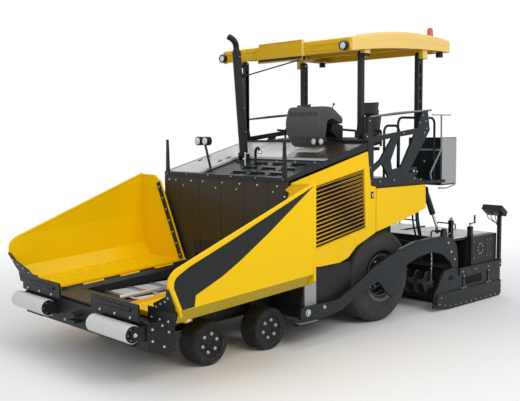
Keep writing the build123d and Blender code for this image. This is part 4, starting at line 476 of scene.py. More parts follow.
# Distance from the middle of the tread, and radius
HALF_TYRE = ((0.150, 0.262), (0.166, 0.270), (0.172, 0.298), (0.168, 0.303), (0.178, 0.335), (0.1852, 0.40),
             (0.1872, 0.45), (0.186, 0.50), (0.182, 0.535), (0.1838, 0.541), (0.1822, 0.549), (0.177, 0.553),
             (0.168, 0.580), (0.152, 0.602), (0.132, 0.6135), (0.112, 0.618), (0.100, 0.6195), (0.098, 0.611),
             (0.090, 0.611), (0.088, 0.621), (0.040, 0.6226), (0.038, 0.613), (0.030, 0.613), (0.028, 0.623))
for side, sign in SIDES:
    hub = (0.700, 0, AXLE_Z)
    tyre = [(TYRE_HALF_WIDTH - a, r) for a, r in HALF_TYRE] + [(TYRE_HALF_WIDTH + a, r) for a, r in HALF_TYRE[::-1]]
    Shape(sign).spin(tyre, hub, OUT, 112, closed=True).build(
        f"tyre_rear_{side}", f"rear_wheel_{side}", "tyre", "tyre", replaces=(f"rear_tyre_{side}",))
    rim = Shape(sign).spin(
        [(0.345, 0.276), (0.352, 0.272), (0.352, 0.262), (0.340, 0.250), (0.300, 0.244), (0.296, 0.238),
         (0.270, 0.234), (0.225, 0.228), (0.208, 0.215), (0.204, 0.150), (0.215, 0.128), (0.240, 0.122),
         (0.245, 0.116), (0.245, 0.061), (0.175, 0.061), (0.172, 0.235), (0.030, 0.240), (0.026, 0.268),
         (0.034, 0.270), (0.040, 0.262), (0.335, 0.262)], hub, OUT, 72, closed=True)
    # Black guard ring over the foot of the sidewall
    rim.spin([(0.352, 0.296), (0.366, 0.304), (0.3725, 0.322), (0.3745, 0.345), (0.3735, 0.355), (0.364, 0.356),
              (0.350, 0.304)], hub, OUT, 96, closed=True)
    rim.bolts(circle((0.9035, 0, AXLE_Z), 0.176, 10), OUT, 0.015)
    rim.spin([(0, 0.059), (0.010, 0.057), (0.020, 0.045), (0.024, TIP)], (0.9505, 0, AXLE_Z), OUT, 32)
    rim.bolts(circle((0.945, 0, AXLE_Z), 0.092, 8, 0.5), OUT, 0.008)
    rim.build(f"rim_rear_{side}", f"rear_wheel_{side}", "rim bolt", "dark_paint", replaces=(f"rear_rim_{side}",))

    for row, y in (("front", -2.947), ("back", -2.035)):
        body = f"front_wheel_{side}_{row}"
        centre = (0.755, y, 0.25)
        wheel = Shape(sign).spin(
            [(0.006, 0.170), (0, 0.180), (0, 0.226), (0.005, 0.239), (0.020, 0.2485), (0.060, 0.2498),
             (0.209, 0.2498), (0.249, 0.2485), (0.264, 0.239), (0.269, 0.226), (0.269, 0.205), (0.2665, 0.203),
             (0.2665, 0.198), (0.269, 0.196), (0.269, 0.182), (0.262, 0.170)], centre, OUT, 80, closed=True)
        wheel.spin([(0.055, 0.0355), (0.060, 0.170), (0.263, 0.1705), (0.262, 0.164), (0.250, 0.160),
                    (0.247, 0.152), (0.246, 0.070), (0.252, 0.062), (0.253, 0.040), (0.247, 0.036),
                    (0.247, TIP)], centre, OUT, 64, slot=1)
        for place in circle((1.0012, y, 0.25), 0.104, 6, 0.25):
            wheel.spin([(0, 0.021), (0.004, 0.020), (0.006, 0.016)], place, OUT, 20, slot=2)
        wheel.bolts(circle((1.0062, y, 0.25), 0.104, 6, 0.25), OUT, 0.0135, slot=2, washer=False)
        wheel.build(f"wheel_{side}_{row}", body, "solid black bolt", "tyre", replaces=(body,))

# ---- hopper wings: stripe, rolled rims, wear strips and corner plates

SLOPE = radians(3.66)
HINGE_Y, HINGE_Z = -3.814, 0.735
LOW_FOLD, HIGH_FOLD = 0.125, 0.44  # heights over the hinge


def hinge_z(y):
    return HINGE_Z + (y - HINGE_Y) * tan(SLOPE)


def wing_x(y, z):
    """How far out the wing's outer face stands."""
    height = z - hinge_z(y)
    if height > HIGH_FOLD:
        return 1.675
    if height > LOW_FOLD:
        return 1.660 + (height - LOW_FOLD) / 0.315 * 0.015
    return 1.550 + (height + 0.015) / 0.140 * 0.110


STRIPE = ((-3.922, 1.085), (-3.927, 1.120), (-3.922, 1.155), (-3.903, 1.188), (-3.862, 1.216), (-3.733, 1.282),
          (-3.221, 1.476), (-2.663, 1.700), (-1.990, 1.966), (-2.664, 1.518), (-3.089, 1.259), (-3.331, 1.127),
          (-3.658, 0.988), (-3.671, 0.876), (-3.820, 0.862))
WING_EDGE = ((-3.838, 0.800), (-3.855, 0.855), (-3.975, 1.105), (-3.967, 1.190), (-3.900, 1.255), (-1.965, 1.988))
for side, sign in SIDES:
    wing = f"wing_{side}"
    # The stripe's outline is cut at the wing's folds, then laid on its faces as a thin film
    work = bmesh.new()
    work.faces.new([work.verts.new((0, y, z)) for y, z in STRIPE])
    for height in (HIGH_FOLD, LOW_FOLD):
        bmesh.ops.bisect_plane(work, geom=work.faces[:] + work.edges[:] + work.verts[:],
                               plane_co=(0, HINGE_Y, HINGE_Z + height), plane_no=(0, -sin(SLOPE), cos(SLOPE)))
    bmesh.ops.triangulate(work, faces=work.faces[:])
    work.verts.index_update()
    count = len(work.verts)
    verts = [(wing_x(v.co.y, v.co.z) + lift, v.co.y, v.co.z) for lift in (-0.001, 0.0008) for v in work.verts]
    faces = [tuple(v.index + layer for v in f.verts) for layer in (0, count) for f in work.faces]
    for edge in work.edges:
        if len(edge.link_faces) == 1:
            a, b = edge.verts[0].index, edge.verts[1].index
            faces.append((a, b, b + count, a + count))
    work.free()
    Shape(sign).put(verts, faces).build(f"wing_stripe_{side}", wing, "band", "dark_paint")

    trim = Shape(sign)
    trim.pipe(spots(1.657, WING_EDGE), 0.0175, bend=0.04, segments=14)
    trim.pipe([(1.657, -1.967, 1.975), (1.345, -1.967, 1.966), (1.213, -1.967, 1.884)], 0.016, bend=0.03)
    trim.build(f"wing_rim_{side}", wing, "yellow", "yellow")

    # Black wear strip, bolted along the inner edge of the rear wall
    wear = Shape(sign)
    top, foot, thick = Vector((1.215, -1.980, 1.900)), Vector((0.715, -1.980, 0.890)), Vector((0, -0.010, 0))
    along = (foot - top).normalized()
    inward = (Vector(OUT) - along * along.x).normalized()
    wear.panel([top, foot, foot + inward * 0.075, top + inward * 0.075], thick)
    wear.bolts([top + (foot - top) * (0.06 + i * 0.147) + inward * 0.037 + thick for i in range(7)], FRONT, 0.010)
    wear.build(f"wing_wear_{side}", wing, "flap bolt", "dark_paint")

    # Corner plate on the front edge, down to the push beam's plate
    rise = Vector((0, -0.433, 0.901))
    corner = Shape(sign)
    corner.panel([Vector((x, -3.850, 0.800)) + rise * v for x, v in (
        (1.245, -0.035), (1.30, 0.105), (1.585, 0.235), (1.652, 0.325), (1.668, 0.30), (1.640, 0.10),
        (1.545, -0.035))], (0, -0.010, -0.004))
    corner.bolts([Vector((x, -3.860, 0.796)) + rise * v for x, v in (
        (1.33, 0.07), (1.43, 0.12), (1.53, 0.165), (1.61, 0.22))], (0, -0.9, -0.43), 0.010)
    corner.build(f"wing_corner_{side}", wing, "black bolt", "dark_paint")

# ---- push beam, roller ends and conveyor bars

ROLLER = (-4.090, 0.591)  # y and z of the rollers' axis
for side, sign in SIDES:
    ends = Shape(sign)
    for x, way in ((1.211, 1), (0.481, -1)):
        ends.spin([(0, 0.086), (0.004, 0.086), (0.005, 0.078), (0.005, 0.046), (0.007, 0.044), (0.0072, 0.0265)],
                  (x, *ROLLER), (way, 0, 0), 48)
        ends.bolts(circle((x + way * 0.0045, *ROLLER), 0.062, 6), (way, 0, 0), 0.006, washer=False)
    ends.build(f"roller_ends_{side}", f"push_roller_{side}", "black bolt", "dark_paint")

    beam = Shape(sign)
    beam.bolts([(x, -4.028, 0.728) for x in (0.52, 0.80, 1.08)], FRONT, 0.013)
    # Long raised pad on each deflector plate
    beam.pipe([(0.46 + 0.62 * i / 9, -4.022 - 0.008 * sin(pi * i / 9), 0.806 + 0.006 * sin(pi * i / 9))
               for i in range(10)], 0.022, bend=0.02, segments=10)
    beam.studs(1.270, ((-3.90, 0.62), (-3.90, 0.50), (-3.76, 0.42), (-3.70, 0.56), (-3.78, 0.64)), 0.012, washer=True)
    beam.spin([(0, 0.040), (0.006, 0.039), (0.008, 0.030)], (1.2435, *ROLLER), OUT, 32)
    beam.bolts([(1.2505, *ROLLER)], OUT, 0.018)
    beam.bolts([(x, -3.9855, 0.47) for x in (0.30, 0.60, 0.95)], FRONT, 0.012)
    beam.build(f"beam_bolts_{side}", "chassis", "black bolt", "dark_paint")

BARS = 13


def bar(index):
    """Y and Z of a conveyor bar."""
    share = (index + 0.5) / BARS
    return -3.480 + share * 4.200, 0.560 + share * 0.080


# Worn steel caps on the conveyors' bars, and the grey guide over the chains
caps = Shape()
for index in range(BARS):
    y, z = bar(index)
    for x in (0.034, -0.511):
        caps.box((x, y - 0.0235, z + 0.094), (x + 0.477, y + 0.0235, z + 0.1145))
caps.build("conveyor_bars", "chassis", "steel", "steel", bevel=0.003)
guard = Shape()
for guard.sign in (1, -1):
    guard.panel([(0.022, -3.45, 0.668), (0.022, -1.95, 0.697), (0, -1.95, 0.727), (0, -3.45, 0.698)], (0, 0, 0.012))
guard.build("conveyor_guard", "chassis", "steel", "steel", bevel=0.002)

# ---- hopper: deflectors' outer parts, hinge covers and wall trim

for side, sign in SIDES:
    outer = Shape(sign)
    outer.panel([(x, -3.872, z) for x, z in ((1.157, 0.700), (1.600, 0.720), (1.640, 0.822), (1.625, 0.842),
                                             (1.157, 0.842))], (0, 0.014, 0))
    outer.bolts([(x, -3.872, 0.735) for x in (1.22, 1.36, 1.50)], FRONT, 0.011)
    outer.build(f"wing_deflector_{side}", f"wing_{side}", "black bolt", "dark_paint", bevel=0.002)

    # Sheet over the hinge's knuckles, in the orange hopper paint, which is painted shade
    cover = Shape(sign)
    y0, y1 = -3.812, -1.985
    cover.panel([(x, y, hinge_z(y) + lift) for x, y, lift in (
        (0.634, y0, 0.030), (0.730, y0, 0.0305), (0.730, y1, 0.0305), (0.634, y1, 0.030))], (0, 0, 0.004))
    cover.build(f"hinge_cover_{side}", f"wing_{side}", "hopper", "yellow")

WALL_Y = -1.915
wall = Shape()
for x in (-0.86, -0.43, 0, 0.43, 0.86):
    wall.box((x - 0.004, WALL_Y - 0.0015, 1.02), (x + 0.004, WALL_Y, 1.980), slot=1)
wall.bolts([(x, WALL_Y, 1.930) for x in (-1.08, -0.93, -0.60, -0.36, 0.03, 0.36, 0.68, 1.02)], FRONT, 0.010, slot=2)
wall.bolts([(x, WALL_Y, 1.860) for x in (-0.77, -0.10, 0.30, 0.95)], FRONT, 0.009, slot=2)
for low_x in (-0.545, 0.035):
    for i in range(5):
        x = low_x + i * 0.102
        wall.box((x, WALL_Y + 0.004, 0.98), (x + 0.098, WALL_Y + 0.012, 1.17), slot=3)
wall.box((-1.16, WALL_Y - 0.004, 1.970), (1.16, WALL_Y, 1.996), slot=1)
wall.build("wall_trim", "chassis", "wall black bolt flap", "dark_paint")

plates = Shape()
for index in range(BARS - 1):
    y, z = bar(index)
    for x in (0.040, -0.505):
        plates.box((x, y + 0.030, z + 0.0965), (x + 0.465, y + 0.293, z + 0.1015))
plates.build("conveyor_plates", "chassis", "plate", "steel", bevel=0.002)

# ---- hood: panels, deck trim, lamps and latches


def hood_z(y):
    return 2.030 + 0.26598 * (y - WALL_Y)


def on_hood(shape, x0, x1, y0, y1, lift, thick, slot=0):
    shape.panel([(x, y, hood_z(y) + lift) for x, y in ((x0, y0), (x1, y0), (x1, y1), (x0, y1))],
                (0, -thick * 0.27, thick * 0.96), slot)


hood = Shape()
# Slot 1 is brown dark: on the panels at positive x it is a painted reflection
for x0, x1, y0, y1, slot in ((-1.150, -0.515, -1.875, -1.325, 0), (-1.150, -0.515, -1.315, -0.475, 0),
                             (-0.490, -0.020, -1.150, -0.475, 0), (-0.010, 0.305, -1.150, -0.475, 0),
                             (0.735, 1.150, -1.150, -0.475, 1), (0.312, 0.728, -1.150, -0.915, 1),
                             (0.312, 0.728, -0.720, -0.475, 1)):
    on_hood(hood, x0, x1, y0, y1, 0.0002, 0.004, slot)
for x in (-1.05, -0.62):
    for y in (-1.40, -1.24):
        on_hood(hood, x - 0.018, x + 0.018, y - 0.03, y + 0.03, 0.004, 0.010, 1)
hood.build("hood_panels", "chassis", "hood gloss", "light_grey", bevel=0.0015)

deck = Shape()
for row in range(3):
    for column in range(3):
        x, y = 0.12 + column * 0.34, -1.735 + row * 0.19
        # Raised lip behind each slot, and the bright baffle seen through it
        on_hood(deck, x - 0.120, x + 0.120, y + 0.030, y + 0.042, -0.035, 0.022)
        on_hood(deck, x + 0.020, x + 0.115, y - 0.024, y + 0.020, -0.052, 0.006, 1)
        on_hood(deck, x - 0.115, x - 0.020, y - 0.024, y + 0.020, -0.056, 0.006, 2)
deck.bolts([(x, y, hood_z(y) - 0.035) for x in (-0.46, -0.10, 0.28, 0.62, 0.96, 1.12) for y in (-1.86, -1.20)],
           (0, -0.27, 0.96), 0.009, slot=3)
deck.bolts([(x, WALL_Y, 2.014) for x in (-1.12, -0.7, -0.25, 0.2, 0.65, 1.12)], FRONT, 0.007, slot=3, washer=False)
for deck.sign in (-1, 1):
    deck.bolts([(1.185, y, hood_z(y) - 0.030) for y in (-1.80 + i * 0.21 for i in range(7))], OUT, 0.007, slot=0,
               washer=False)
# Filler pipe with a bright cap beside the stack
deck.pipe([(0.02, -1.33, hood_z(-1.33) - 0.04), (0.02, -1.33, 2.33), (0.10, -1.36, 2.37), (0.16, -1.38, 2.31)], 0.018)
deck.rod((0.16, -1.38, 2.325), (0.165, -1.382, 2.285), 0.024, slot=3)
deck.rod((-0.08, -1.42, 2.10), (-0.08, -1.42, 2.30), 0.010, slot=3)
deck.rod((-0.08, -1.42, 2.285), (0.06, -1.42, 2.285), 0.008, slot=3)
for x in (-0.605, -0.455):
    deck.spin([(0, 0.058), (0.004, 0.060), (0.008, 0.056), (0.009, 0.048)], (x, -1.789, 2.45), FRONT, 36)
    deck.spin([(0, 0.048), (0.006, 0.040), (0.009, TIP)], (x, -1.798, 2.45), FRONT, 36, slot=4)
deck.build("deck_trim", "chassis", "black light ochre bolt lens", "dark_paint")

SLATS = 15
for side, sign in SIDES:
    door = f"side_door_{side}"
    grille = Shape(sign)
    for index in range(SLATS):
        share = (index + 0.5) / SLATS
        z0, z1 = 1.165 + share * 0.740, 1.335 + share * 0.750
        y0, y1 = -1.470 - 0.030 * share, -0.530 - 0.035 * share
        # Each slat is a black strip under a tan one; the black is painted shade in the gap between slats
        for low, high, slot in ((-0.0106, 0.0018, 1), (0.0018, 0.0098, 0)):
            grille.plate([(y0, z0 + low), (y1, z1 + low), (y1, z1 + high), (y0, z0 + high)], 1.195, 1.214, slot)
    grille.build(f"grille_{side}", door, "slat void", "yellow", bevel=0.0012)

    trim = Shape(sign)
    # Black sheet behind the grille: painted shade seen through it
    trim.plate([(-1.472, 1.167), (-0.532, 1.337), (-0.567, 2.083), (-1.500, 1.903)], 1.1925, 1.1936)
    trim.border(spots(1.2165, ((-1.482, 1.153), (-0.520, 1.325), (-0.555, 2.097), (-1.512, 1.917))), 0.005, 8, 1)
    trim.box((1.2165, -0.425, 1.705), (1.2225, -0.372, 1.790))
    trim.box((1.2220, -0.412, 1.722), (1.2262, -0.385, 1.773), slot=2)
    trim.studs(1.217, ((-0.375, 1.30), (-0.72, 1.145), (-1.84, 1.00), (-1.84, 1.90), (-0.52, 2.25)), 0.007, slot=2)
    trim.build(f"door_trim_{side}", door, "void yellow bolt", "dark_paint")

    fender = Shape(sign).studs(1.217, ((-0.30, 1.30), (-0.30, 1.79), (0.72, 1.79), (0.73, 1.54), (0.20, 1.79),
                                       (0.20, 1.43)), 0.007, slot=0)
    fender.build(f"fender_bolts_{side}", "chassis", "yellow", "yellow")

# ---- canopy, lamps, beacon and exhaust


def roof_z(y):
    """Top of the shell: the arc through its front, crown and rear."""
    (x1, y1), (x2, y2), (x3, y3) = (-0.830, 3.725), (0.250, 3.872), (1.330, 3.830)
    a = x1 * (y2 - y3) - y1 * (x2 - x3) + x2 * y3 - x3 * y2
    b = (x1 ** 2 + y1 ** 2) * (y3 - y2) + (x2 ** 2 + y2 ** 2) * (y1 - y3) + (x3 ** 2 + y3 ** 2) * (y2 - y1)
    c = (x1 ** 2 + y1 ** 2) * (x2 - x3) + (x2 ** 2 + y2 ** 2) * (x3 - x1) + (x3 ** 2 + y3 ** 2) * (x1 - x2)
    cx, cy = -b / (2 * a), -c / (2 * a)
    return cy + ((x1 - cx) ** 2 + (y1 - cy) ** 2 - (y - cx) ** 2) ** 0.5


roof = Shape()
for roof.sign in (-1, 1):
    crease = [(1.165, -0.66), (1.08, -0.32), (0.99, 0.05), (0.95, 0.42), (0.98, 0.80), (1.08, 1.18)]
    roof.pipe([(x, y, roof_z(y) - 0.010) for x, y in crease], 0.016, bend=0.16, segments=16)
    roof.pipe([(1.2245, -0.75 + i * 0.245, roof_z(-0.75 + i * 0.245) - 0.108 + 0.012 * sin(pi * i / 8))
               for i in range(9)], 0.010, bend=0.09)
for i in range(5):
    roof.pipe([(-0.72 + i * 0.36, -0.66 + k * 0.18, roof_z(-0.66 + k * 0.18) - 0.006) for k in range(11)], 0.009,
              bend=0.08, segments=10)
roof.build("roof_creases", "roof", "roof_light_and_shade", "roof", smooth=60)

front = Shape()
front.border([(x, -0.8585, z) for x, z in ((-0.422, 3.507), (0.422, 3.507), (0.398, 3.753), (-0.398, 3.753))],
             0.006, 10)
for x0, x1 in ((-1.10, -0.50), (0.50, 1.10)):
    for z, radius in ((3.675, 0.009), (3.600, 0.007)):
        front.pipe([(x0, -0.831, z), (x1, -0.831, z)], radius, segments=10)
front.bolts([(x, -0.830, 3.638) for x in (-1.10, -0.85, -0.60, 0.60, 0.85, 1.10)], FRONT, 0.008, washer=False)
front.build("roof_front", "roof", "fascia bolt", "yellow")

lamps = Shape()
for lamps.sign in (1, -1):
    place = (1.143, -0.838, 3.620)
    lamps.spin([(0, 0.040), (0.006, 0.052), (0.030, 0.059), (0.060, 0.060), (0.068, 0.058), (0.070, 0.050),
                (0.062, 0.047), (0.058, TIP)], place, FRONT, 40)
    lamps.spin([(0.0585, 0.0465), (0.064, 0.040), (0.067, 0.020), (0.068, TIP)], place, FRONT, 40, slot=1)
    for dot in circle((1.143, -0.907, 3.620), 0.054, 10, axis=1):
        lamps.spin([(0, 0.004), (0.002, 0.003)], dot, FRONT, 8, slot=2)
    place = (1.115, 1.212, 3.670)
    lamps.spin([(0, 0.036), (0.010, 0.048), (0.040, 0.050), (0.070, 0.048), (0.073, 0.042), (0.066, 0.038),
                (0.064, TIP)], place, (0, 0, -1), 36)
    lamps.spin([(0.0645, 0.0375), (0.071, 0.028), (0.0735, TIP)], place, (0, 0, -1), 36, slot=1)
lamps.build("roof_lamp_set", "roof", "black lens bolt", "dark_paint", replaces=("roof_lamps",))

beacon = Shape()
place = (1.010, 1.130, 3.866)
beacon.spin([(0, 0.045), (0.006, 0.0455), (0.020, 0.0455), (0.024, 0.050), (0.030, 0.050), (0.031, 0.046)],
            place, UP, 40)
ribs = [(0.031, 0.0455)]
for i in range(9):
    low, radius = 0.034 + i * 0.0115, 0.0455 - i * 0.0009
    ribs += [(low, radius), (low + 0.004, 0.0475 - i * 0.001), (low + 0.008, radius)]
ribs += [(0.139, 0.035), (0.146, 0.026), (0.150, 0.012), (0.150, TIP)]
beacon.spin(ribs, place, UP, 40, slot=1)
beacon.build("beacon_lamp", "roof", "black beacon", "beacon", replaces=("beacon",), smooth=50)

STACK_LEAN = radians(5)
stack_up = Vector((0, -sin(STACK_LEAN), cos(STACK_LEAN)))
stack_foot = Vector((-0.300, -1.245, 2.2582))
stack = Shape()
for low, radius, tall in ((0.30, 0.0605, 0.018), (0.62, 0.0605, 0.018), (1.290, 0.0605, 0.018),
                          (1.352, 0.064, 0.012), (1.366, 0.046, 0.03)):
    stack.spin([(0, 0.050), (0, radius - 0.002), (0.002, radius), (tall - 0.002, radius), (tall, radius - 0.002),
                (tall, 0.040)], stack_foot + stack_up * low, stack_up, 40, closed=True)
stack.bolts([stack_foot + stack_up * low + Vector((0.0605, 0, 0)) for low in (0.309, 0.629, 1.299)], OUT, 0.008,
            washer=False)
stack.build("stack_clamps", "exhaust", "dark bolt", "dark_paint")

# ---- console, seats, side frames, lockers

PANEL_UP = Vector((0, 0.550, 0.835))
console = Shape()


def on_console(x, along, lift=0.0):
    """Place on the sloped instrument face: along runs from its upper edge to its lower."""
    return Vector((x, -0.700 + 0.220 * along, 2.885 - 0.145 * along)) + PANEL_UP * lift


for x0, x1, top, foot, lift, thick, slot in ((0.240, 0.765, 0.20, 0.86, 0.0, 0.006, 0),
                                             (0.42, 0.62, 0.24, 0.60, 0.006, 0.004, 1)):
    console.panel([on_console(x, along, lift) for x, along in ((x0, top), (x1, top), (x1, foot), (x0, foot))],
                  PANEL_UP * thick, slot)
for column in range(10):
    for row in range(2):
        console.spin([(0, 0.013), (0.006, 0.012), (0.008, 0.008)],
                     on_console(0.268 + column * 0.052, 0.68 + row * 0.12, 0.006), PANEL_UP, 14,
                     slot=2 if (column + row) % 3 else 3)
for x in (0.29, 0.72):
    console.rod(on_console(x, 0.35, 0.004), on_console(x, 0.30, 0.085), 0.007, 12, slot=2)
    console.spin([(0, 0.004), (0.006, 0.014), (0.018, 0.016), (0.028, 0.010), (0.030, TIP)],
                 on_console(x, 0.30, 0.080), PANEL_UP, 16)
for x in (0.730, 0.858):
    place = (x, -0.9765, 2.440)
    console.spin([(0, 0.048), (0.006, 0.047), (0.008, 0.041), (0.002, 0.039), (0.001, TIP)], place, FRONT, 32)
    console.spin([(0.0015, 0.038), (0.004, 0.034), (0.006, 0.018), (0.0065, TIP)], place, FRONT, 32, slot=4)
console.build("console_trim", "chassis", "plastic gloss black red lens", "plastic_dark")

GRID = 22  # faces along each side of a cushion
DRAW = 0.035  # how far the middle of its sides draws in
SEAM = 0.05  # width of a seam, as a share of half the cushion


def pillow(shape, centre, along, up, size, seams):
    """Crowned closed cushion. Each seam is its way (0 across, 1 along), place and depth."""
    wide, deep, tall = size
    centre, along, up = Vector(centre), Vector(along).normalized(), Vector(up).normalized()
    index, verts, faces = {}, [], []

    def vert(i, j, face_sign):
        rim = i in (0, GRID) or j in (0, GRID)
        key = (i, j, 0 if rim else face_sign)
        if key not in index:
            # Rows gather towards the rim, so the shoulder is smooth
            u, v = [sin((-1 + 2 * k / GRID) * pi / 2) for k in (i, j)]
            swell = ((1 - u ** 6) * (1 - v ** 6)) ** 0.5
            lift = face_sign * tall / 2 * swell * (0.80 + 0.20 * (1 - u * u) * (1 - v * v))
            if face_sign > 0:
                lift -= swell * sum(depth * exp(-(((u, v)[way] - spot) / SEAM) ** 2) for way, spot, depth in seams)
            x = u * wide / 2 * (1 - DRAW * (1 - v * v))
            y = v * deep / 2 * (1 - DRAW * (1 - u * u))
            index[key] = len(verts)
            verts.append(centre + Vector((x, 0, 0)) + along * y + up * (0 if rim else lift))
        return index[key]

    for face_sign in (1, -1):
        for i in range(GRID):
            for j in range(GRID):
                faces.append([vert(a, b, face_sign) for a, b in ((i, j), (i + 1, j), (i + 1, j + 1), (i, j + 1))])
    shape.put(verts, faces)


SEAT_X = 0.640
base = Shape()
for base.sign in (1, -1):
    base.block((SEAT_X, 0.040, 1.872), 0.125, 0.125, 0.433)
    for i in range(7):
        base.block((SEAT_X, 0.040, 2.03 + i * 0.036), 0.130, 0.130, 0.016)
    base.block((SEAT_X, 0.020, 2.305), 0.200, 0.210, 0.045)
    base.block((SEAT_X, -0.2165, 2.365), 0.165, 0.003, 0.047, slot=1)
    base.panel([(SEAT_X - 0.120, 0.262, 2.420), (SEAT_X + 0.120, 0.262, 2.420), (SEAT_X + 0.105, 0.332, 2.860),
                (SEAT_X - 0.105, 0.332, 2.860)], (0, -0.028, 0))
    for x in (SEAT_X - 0.222, SEAT_X + 0.222):
        base.pipe([(x, 0.225, 2.36), (x, 0.225, 2.575), (x, -0.060, 2.590)], 0.016, bend=0.03)
base.build("seat_bases", "chassis", "black red", "plastic_dark", bevel=0.004, replaces=("seats",))
BACK = ((0, 0.16, 1), (0, -1, 0.16))
for side, sign in SIDES:
    pad = Shape(sign)
    pillow(pad, (SEAT_X, 0.018, 2.415), (0, 1, 0), UP, (0.470, 0.455, 0.126),
           ((0, -0.62, 0.008), (0, 0.62, 0.008), (1, 0.35, 0.006), (1, -0.30, 0.006)))
    pillow(pad, (SEAT_X, 0.228, 2.620), *BACK, (0.410, 0.320, 0.108),
           ((0, -0.60, 0.008), (0, 0.60, 0.008), (1, 0.0, 0.006)))
    pillow(pad, (SEAT_X, 0.268, 2.872), *BACK, (0.270, 0.185, 0.096), ((1, 0.0, 0.005),))
    piece = pad.build(f"seat_pad_{side}", "chassis", "leather", "plastic_dark", smooth=75)

for side, sign in SIDES:
    trim = Shape(sign)
    trim.studs(1.185, ((-0.42, 2.70), (-0.405, 2.10), (-0.40, 1.93), (0.66, 2.68), (0.74, 2.78), (0.80, 2.70),
                       (0.82, 2.60), (0.10, 1.92), (0.55, 1.92), (0.70, 1.90), (-0.20, 1.91), (0.30, 2.54)), 0.010)
    for y, z in ((-0.480, 2.500), (0.760, 2.540)):
        trim.spin([(0, 0.030), (0.004, 0.029), (0.006, 0.020), (0.006, TIP)], (1.185, y, z), OUT, 28)
        trim.studs(1.190, ((y, z),), 0.010)
    # Flat rail plate behind the frame's rear tip, and its bent leg
    trim.box((1.132, 1.02, 2.783), (1.165, 1.46, 2.797), slot=2)
    trim.pipe([(1.145, 1.24, 2.790), (1.145, 1.25, 2.300), (1.145, 0.98, 1.965), (1.145, 1.03, 1.845)], 0.012, slot=2)
    trim.pipe([(1.170, -0.430, 2.745), (1.170, 0.20, 2.810), (1.170, 0.90, 2.850)], 0.0125, bend=0.2, slot=2)
    # Valve block and cable behind the frame's rear window
    trim.box((1.130, 0.50, 1.96), (1.150, 0.66, 2.07))
    for y, z, radius in ((0.545, 2.02, 0.016), (0.620, 2.01, 0.012)):
        trim.rod((1.152, y, z), (1.185, y, z), radius, slot=1)
    trim.build(f"frame_trim_{side}", "chassis", "black bolt grey", "dark_paint")

    locker = Shape(sign)
    locker.plate([(1.335, 1.800), (1.700, 1.800), (1.700, 2.455), (1.335, 2.468)], 1.1005, 1.1035, slot=1)
    locker.studs(1.1035, [(y, z) for y in (1.36, 1.67) for z in (1.84, 2.05, 2.25, 2.43)], 0.007, slot=2)
    for x in (0.585, 0.80, 1.03):
        locker.box((x, 1.2975, 1.80), (x + 0.022, 1.3005, 2.45))
    locker.box((0.555, 1.2965, 2.28), (1.085, 1.3005, 2.305), slot=1)
    locker.box((0.56, 1.296, 1.795), (1.08, 1.3005, 1.825))
    locker.pipe([(1.102, 1.67, 1.80), (1.102, 1.67, 1.775), (1.102, 1.46, 1.735), (1.02, 1.36, 1.735)], 0.010,
                bend=0.02, slot=1)
    locker.rod((0.82, 1.296, 2.12), (0.82, 1.290, 2.12), 0.022, slot=2)
    locker.build(f"locker_trim_{side}", "chassis", "dark light bolt", "light_grey", bevel=0.0015)

# ---- tow arms, hoses, augers

for side, sign in SIDES:
    arm = Shape(sign)
    arm.spin([(0, 0.044), (0.004, 0.044), (0.006, 0.040), (0.006, 0.0305)], (1.250, -1.630, 0.411), OUT, 36, slot=1)
    for y, z, size in ((-1.345, 0.440, 0.020), (1.300, 0.960, 0.014), (1.380, 0.820, 0.014), (1.470, 0.700, 0.012)):
        arm.studs(1.250, ((y, z),), size, washer=True)
    arm.box((1.198, -1.800, 0.3045), (1.288, -1.480, 0.3075), slot=2)
    arm.pipe(spots(1.2505, ((0.20, 0.955), (0.52, 1.022), (0.86, 1.036), (1.22, 1.030))), 0.004, bend=0.1, segments=8)
    arm.build(f"arm_trim_{side}", "screed", "dark bolt light", "dark_paint")

    pin = Shape(sign).spin([(0, 0.029), (0.003, 0.028), (0.005, 0.018)], (1.2615, -1.630, 0.411), OUT, 28)
    pin.build(f"tow_pin_{side}", "chassis", "bolt", "steel")

    hoses = Shape(sign)
    for i, (x, y) in enumerate(((1.005, 0.880), (0.960, 0.900), (0.915, 0.880))):
        hoses.pipe([(x, y, 1.68), (x, y + 0.02, 1.30 - i * 0.02), (x - 0.03, y + 0.16, 1.02),
                    (x - 0.06, y + 0.20, 0.66)], 0.013, bend=0.14, segments=10)
    hoses.box((0.86, 0.82, 1.66), (1.04, 0.93, 1.70), slot=1)
    # Guide chain that hangs beside the auger
    for i in range(15):
        z = 0.865 - i * 0.034
        a, b = (0.009, 0.003) if i % 2 else (0.003, 0.009)
        hoses.block((1.160, 1.020, z), a, b, 0.04, slot=2)
    hoses.box((1.06, 1.005, 0.895), (1.175, 1.035, 0.915), slot=1)
    hoses.pipe([(1.07, 1.02, 0.905), (0.9, 0.95, 0.95), (0.62, 0.82, 1.02)], 0.012)
    hoses.build(f"hoses_{side}", "chassis", "flap black bolt", "tyre")

    # The auger's flight: a helix of small four-sided sections
    start = Vector((0.090, 1.105, 0.370))
    steps, turns = 150, 5.6
    rings = []
    for i in range(steps + 1):
        turn = 2 * pi * turns * i / steps
        along = 0.030 + 0.990 * i / steps
        rings.append([start + Vector((along + thick, radius * cos(turn), radius * sin(turn)))
                      for thick, radius in ((-0.006, 0.043), (-0.005, 0.176), (0.005, 0.176), (0.006, 0.043))])
    screw = Shape(sign).spin([(0, 0.0206), (0, 0.045), (1.060, 0.045), (1.060, 0.0206)], start, OUT, 24, closed=True)
    screw.skin(rings)
    screw.build(f"screw_{side}", f"auger_{side}", "worn", "dark_paint", replaces=(f"auger_{side}",), smooth=50)

# ---- end gates: bolts, springs and control panel

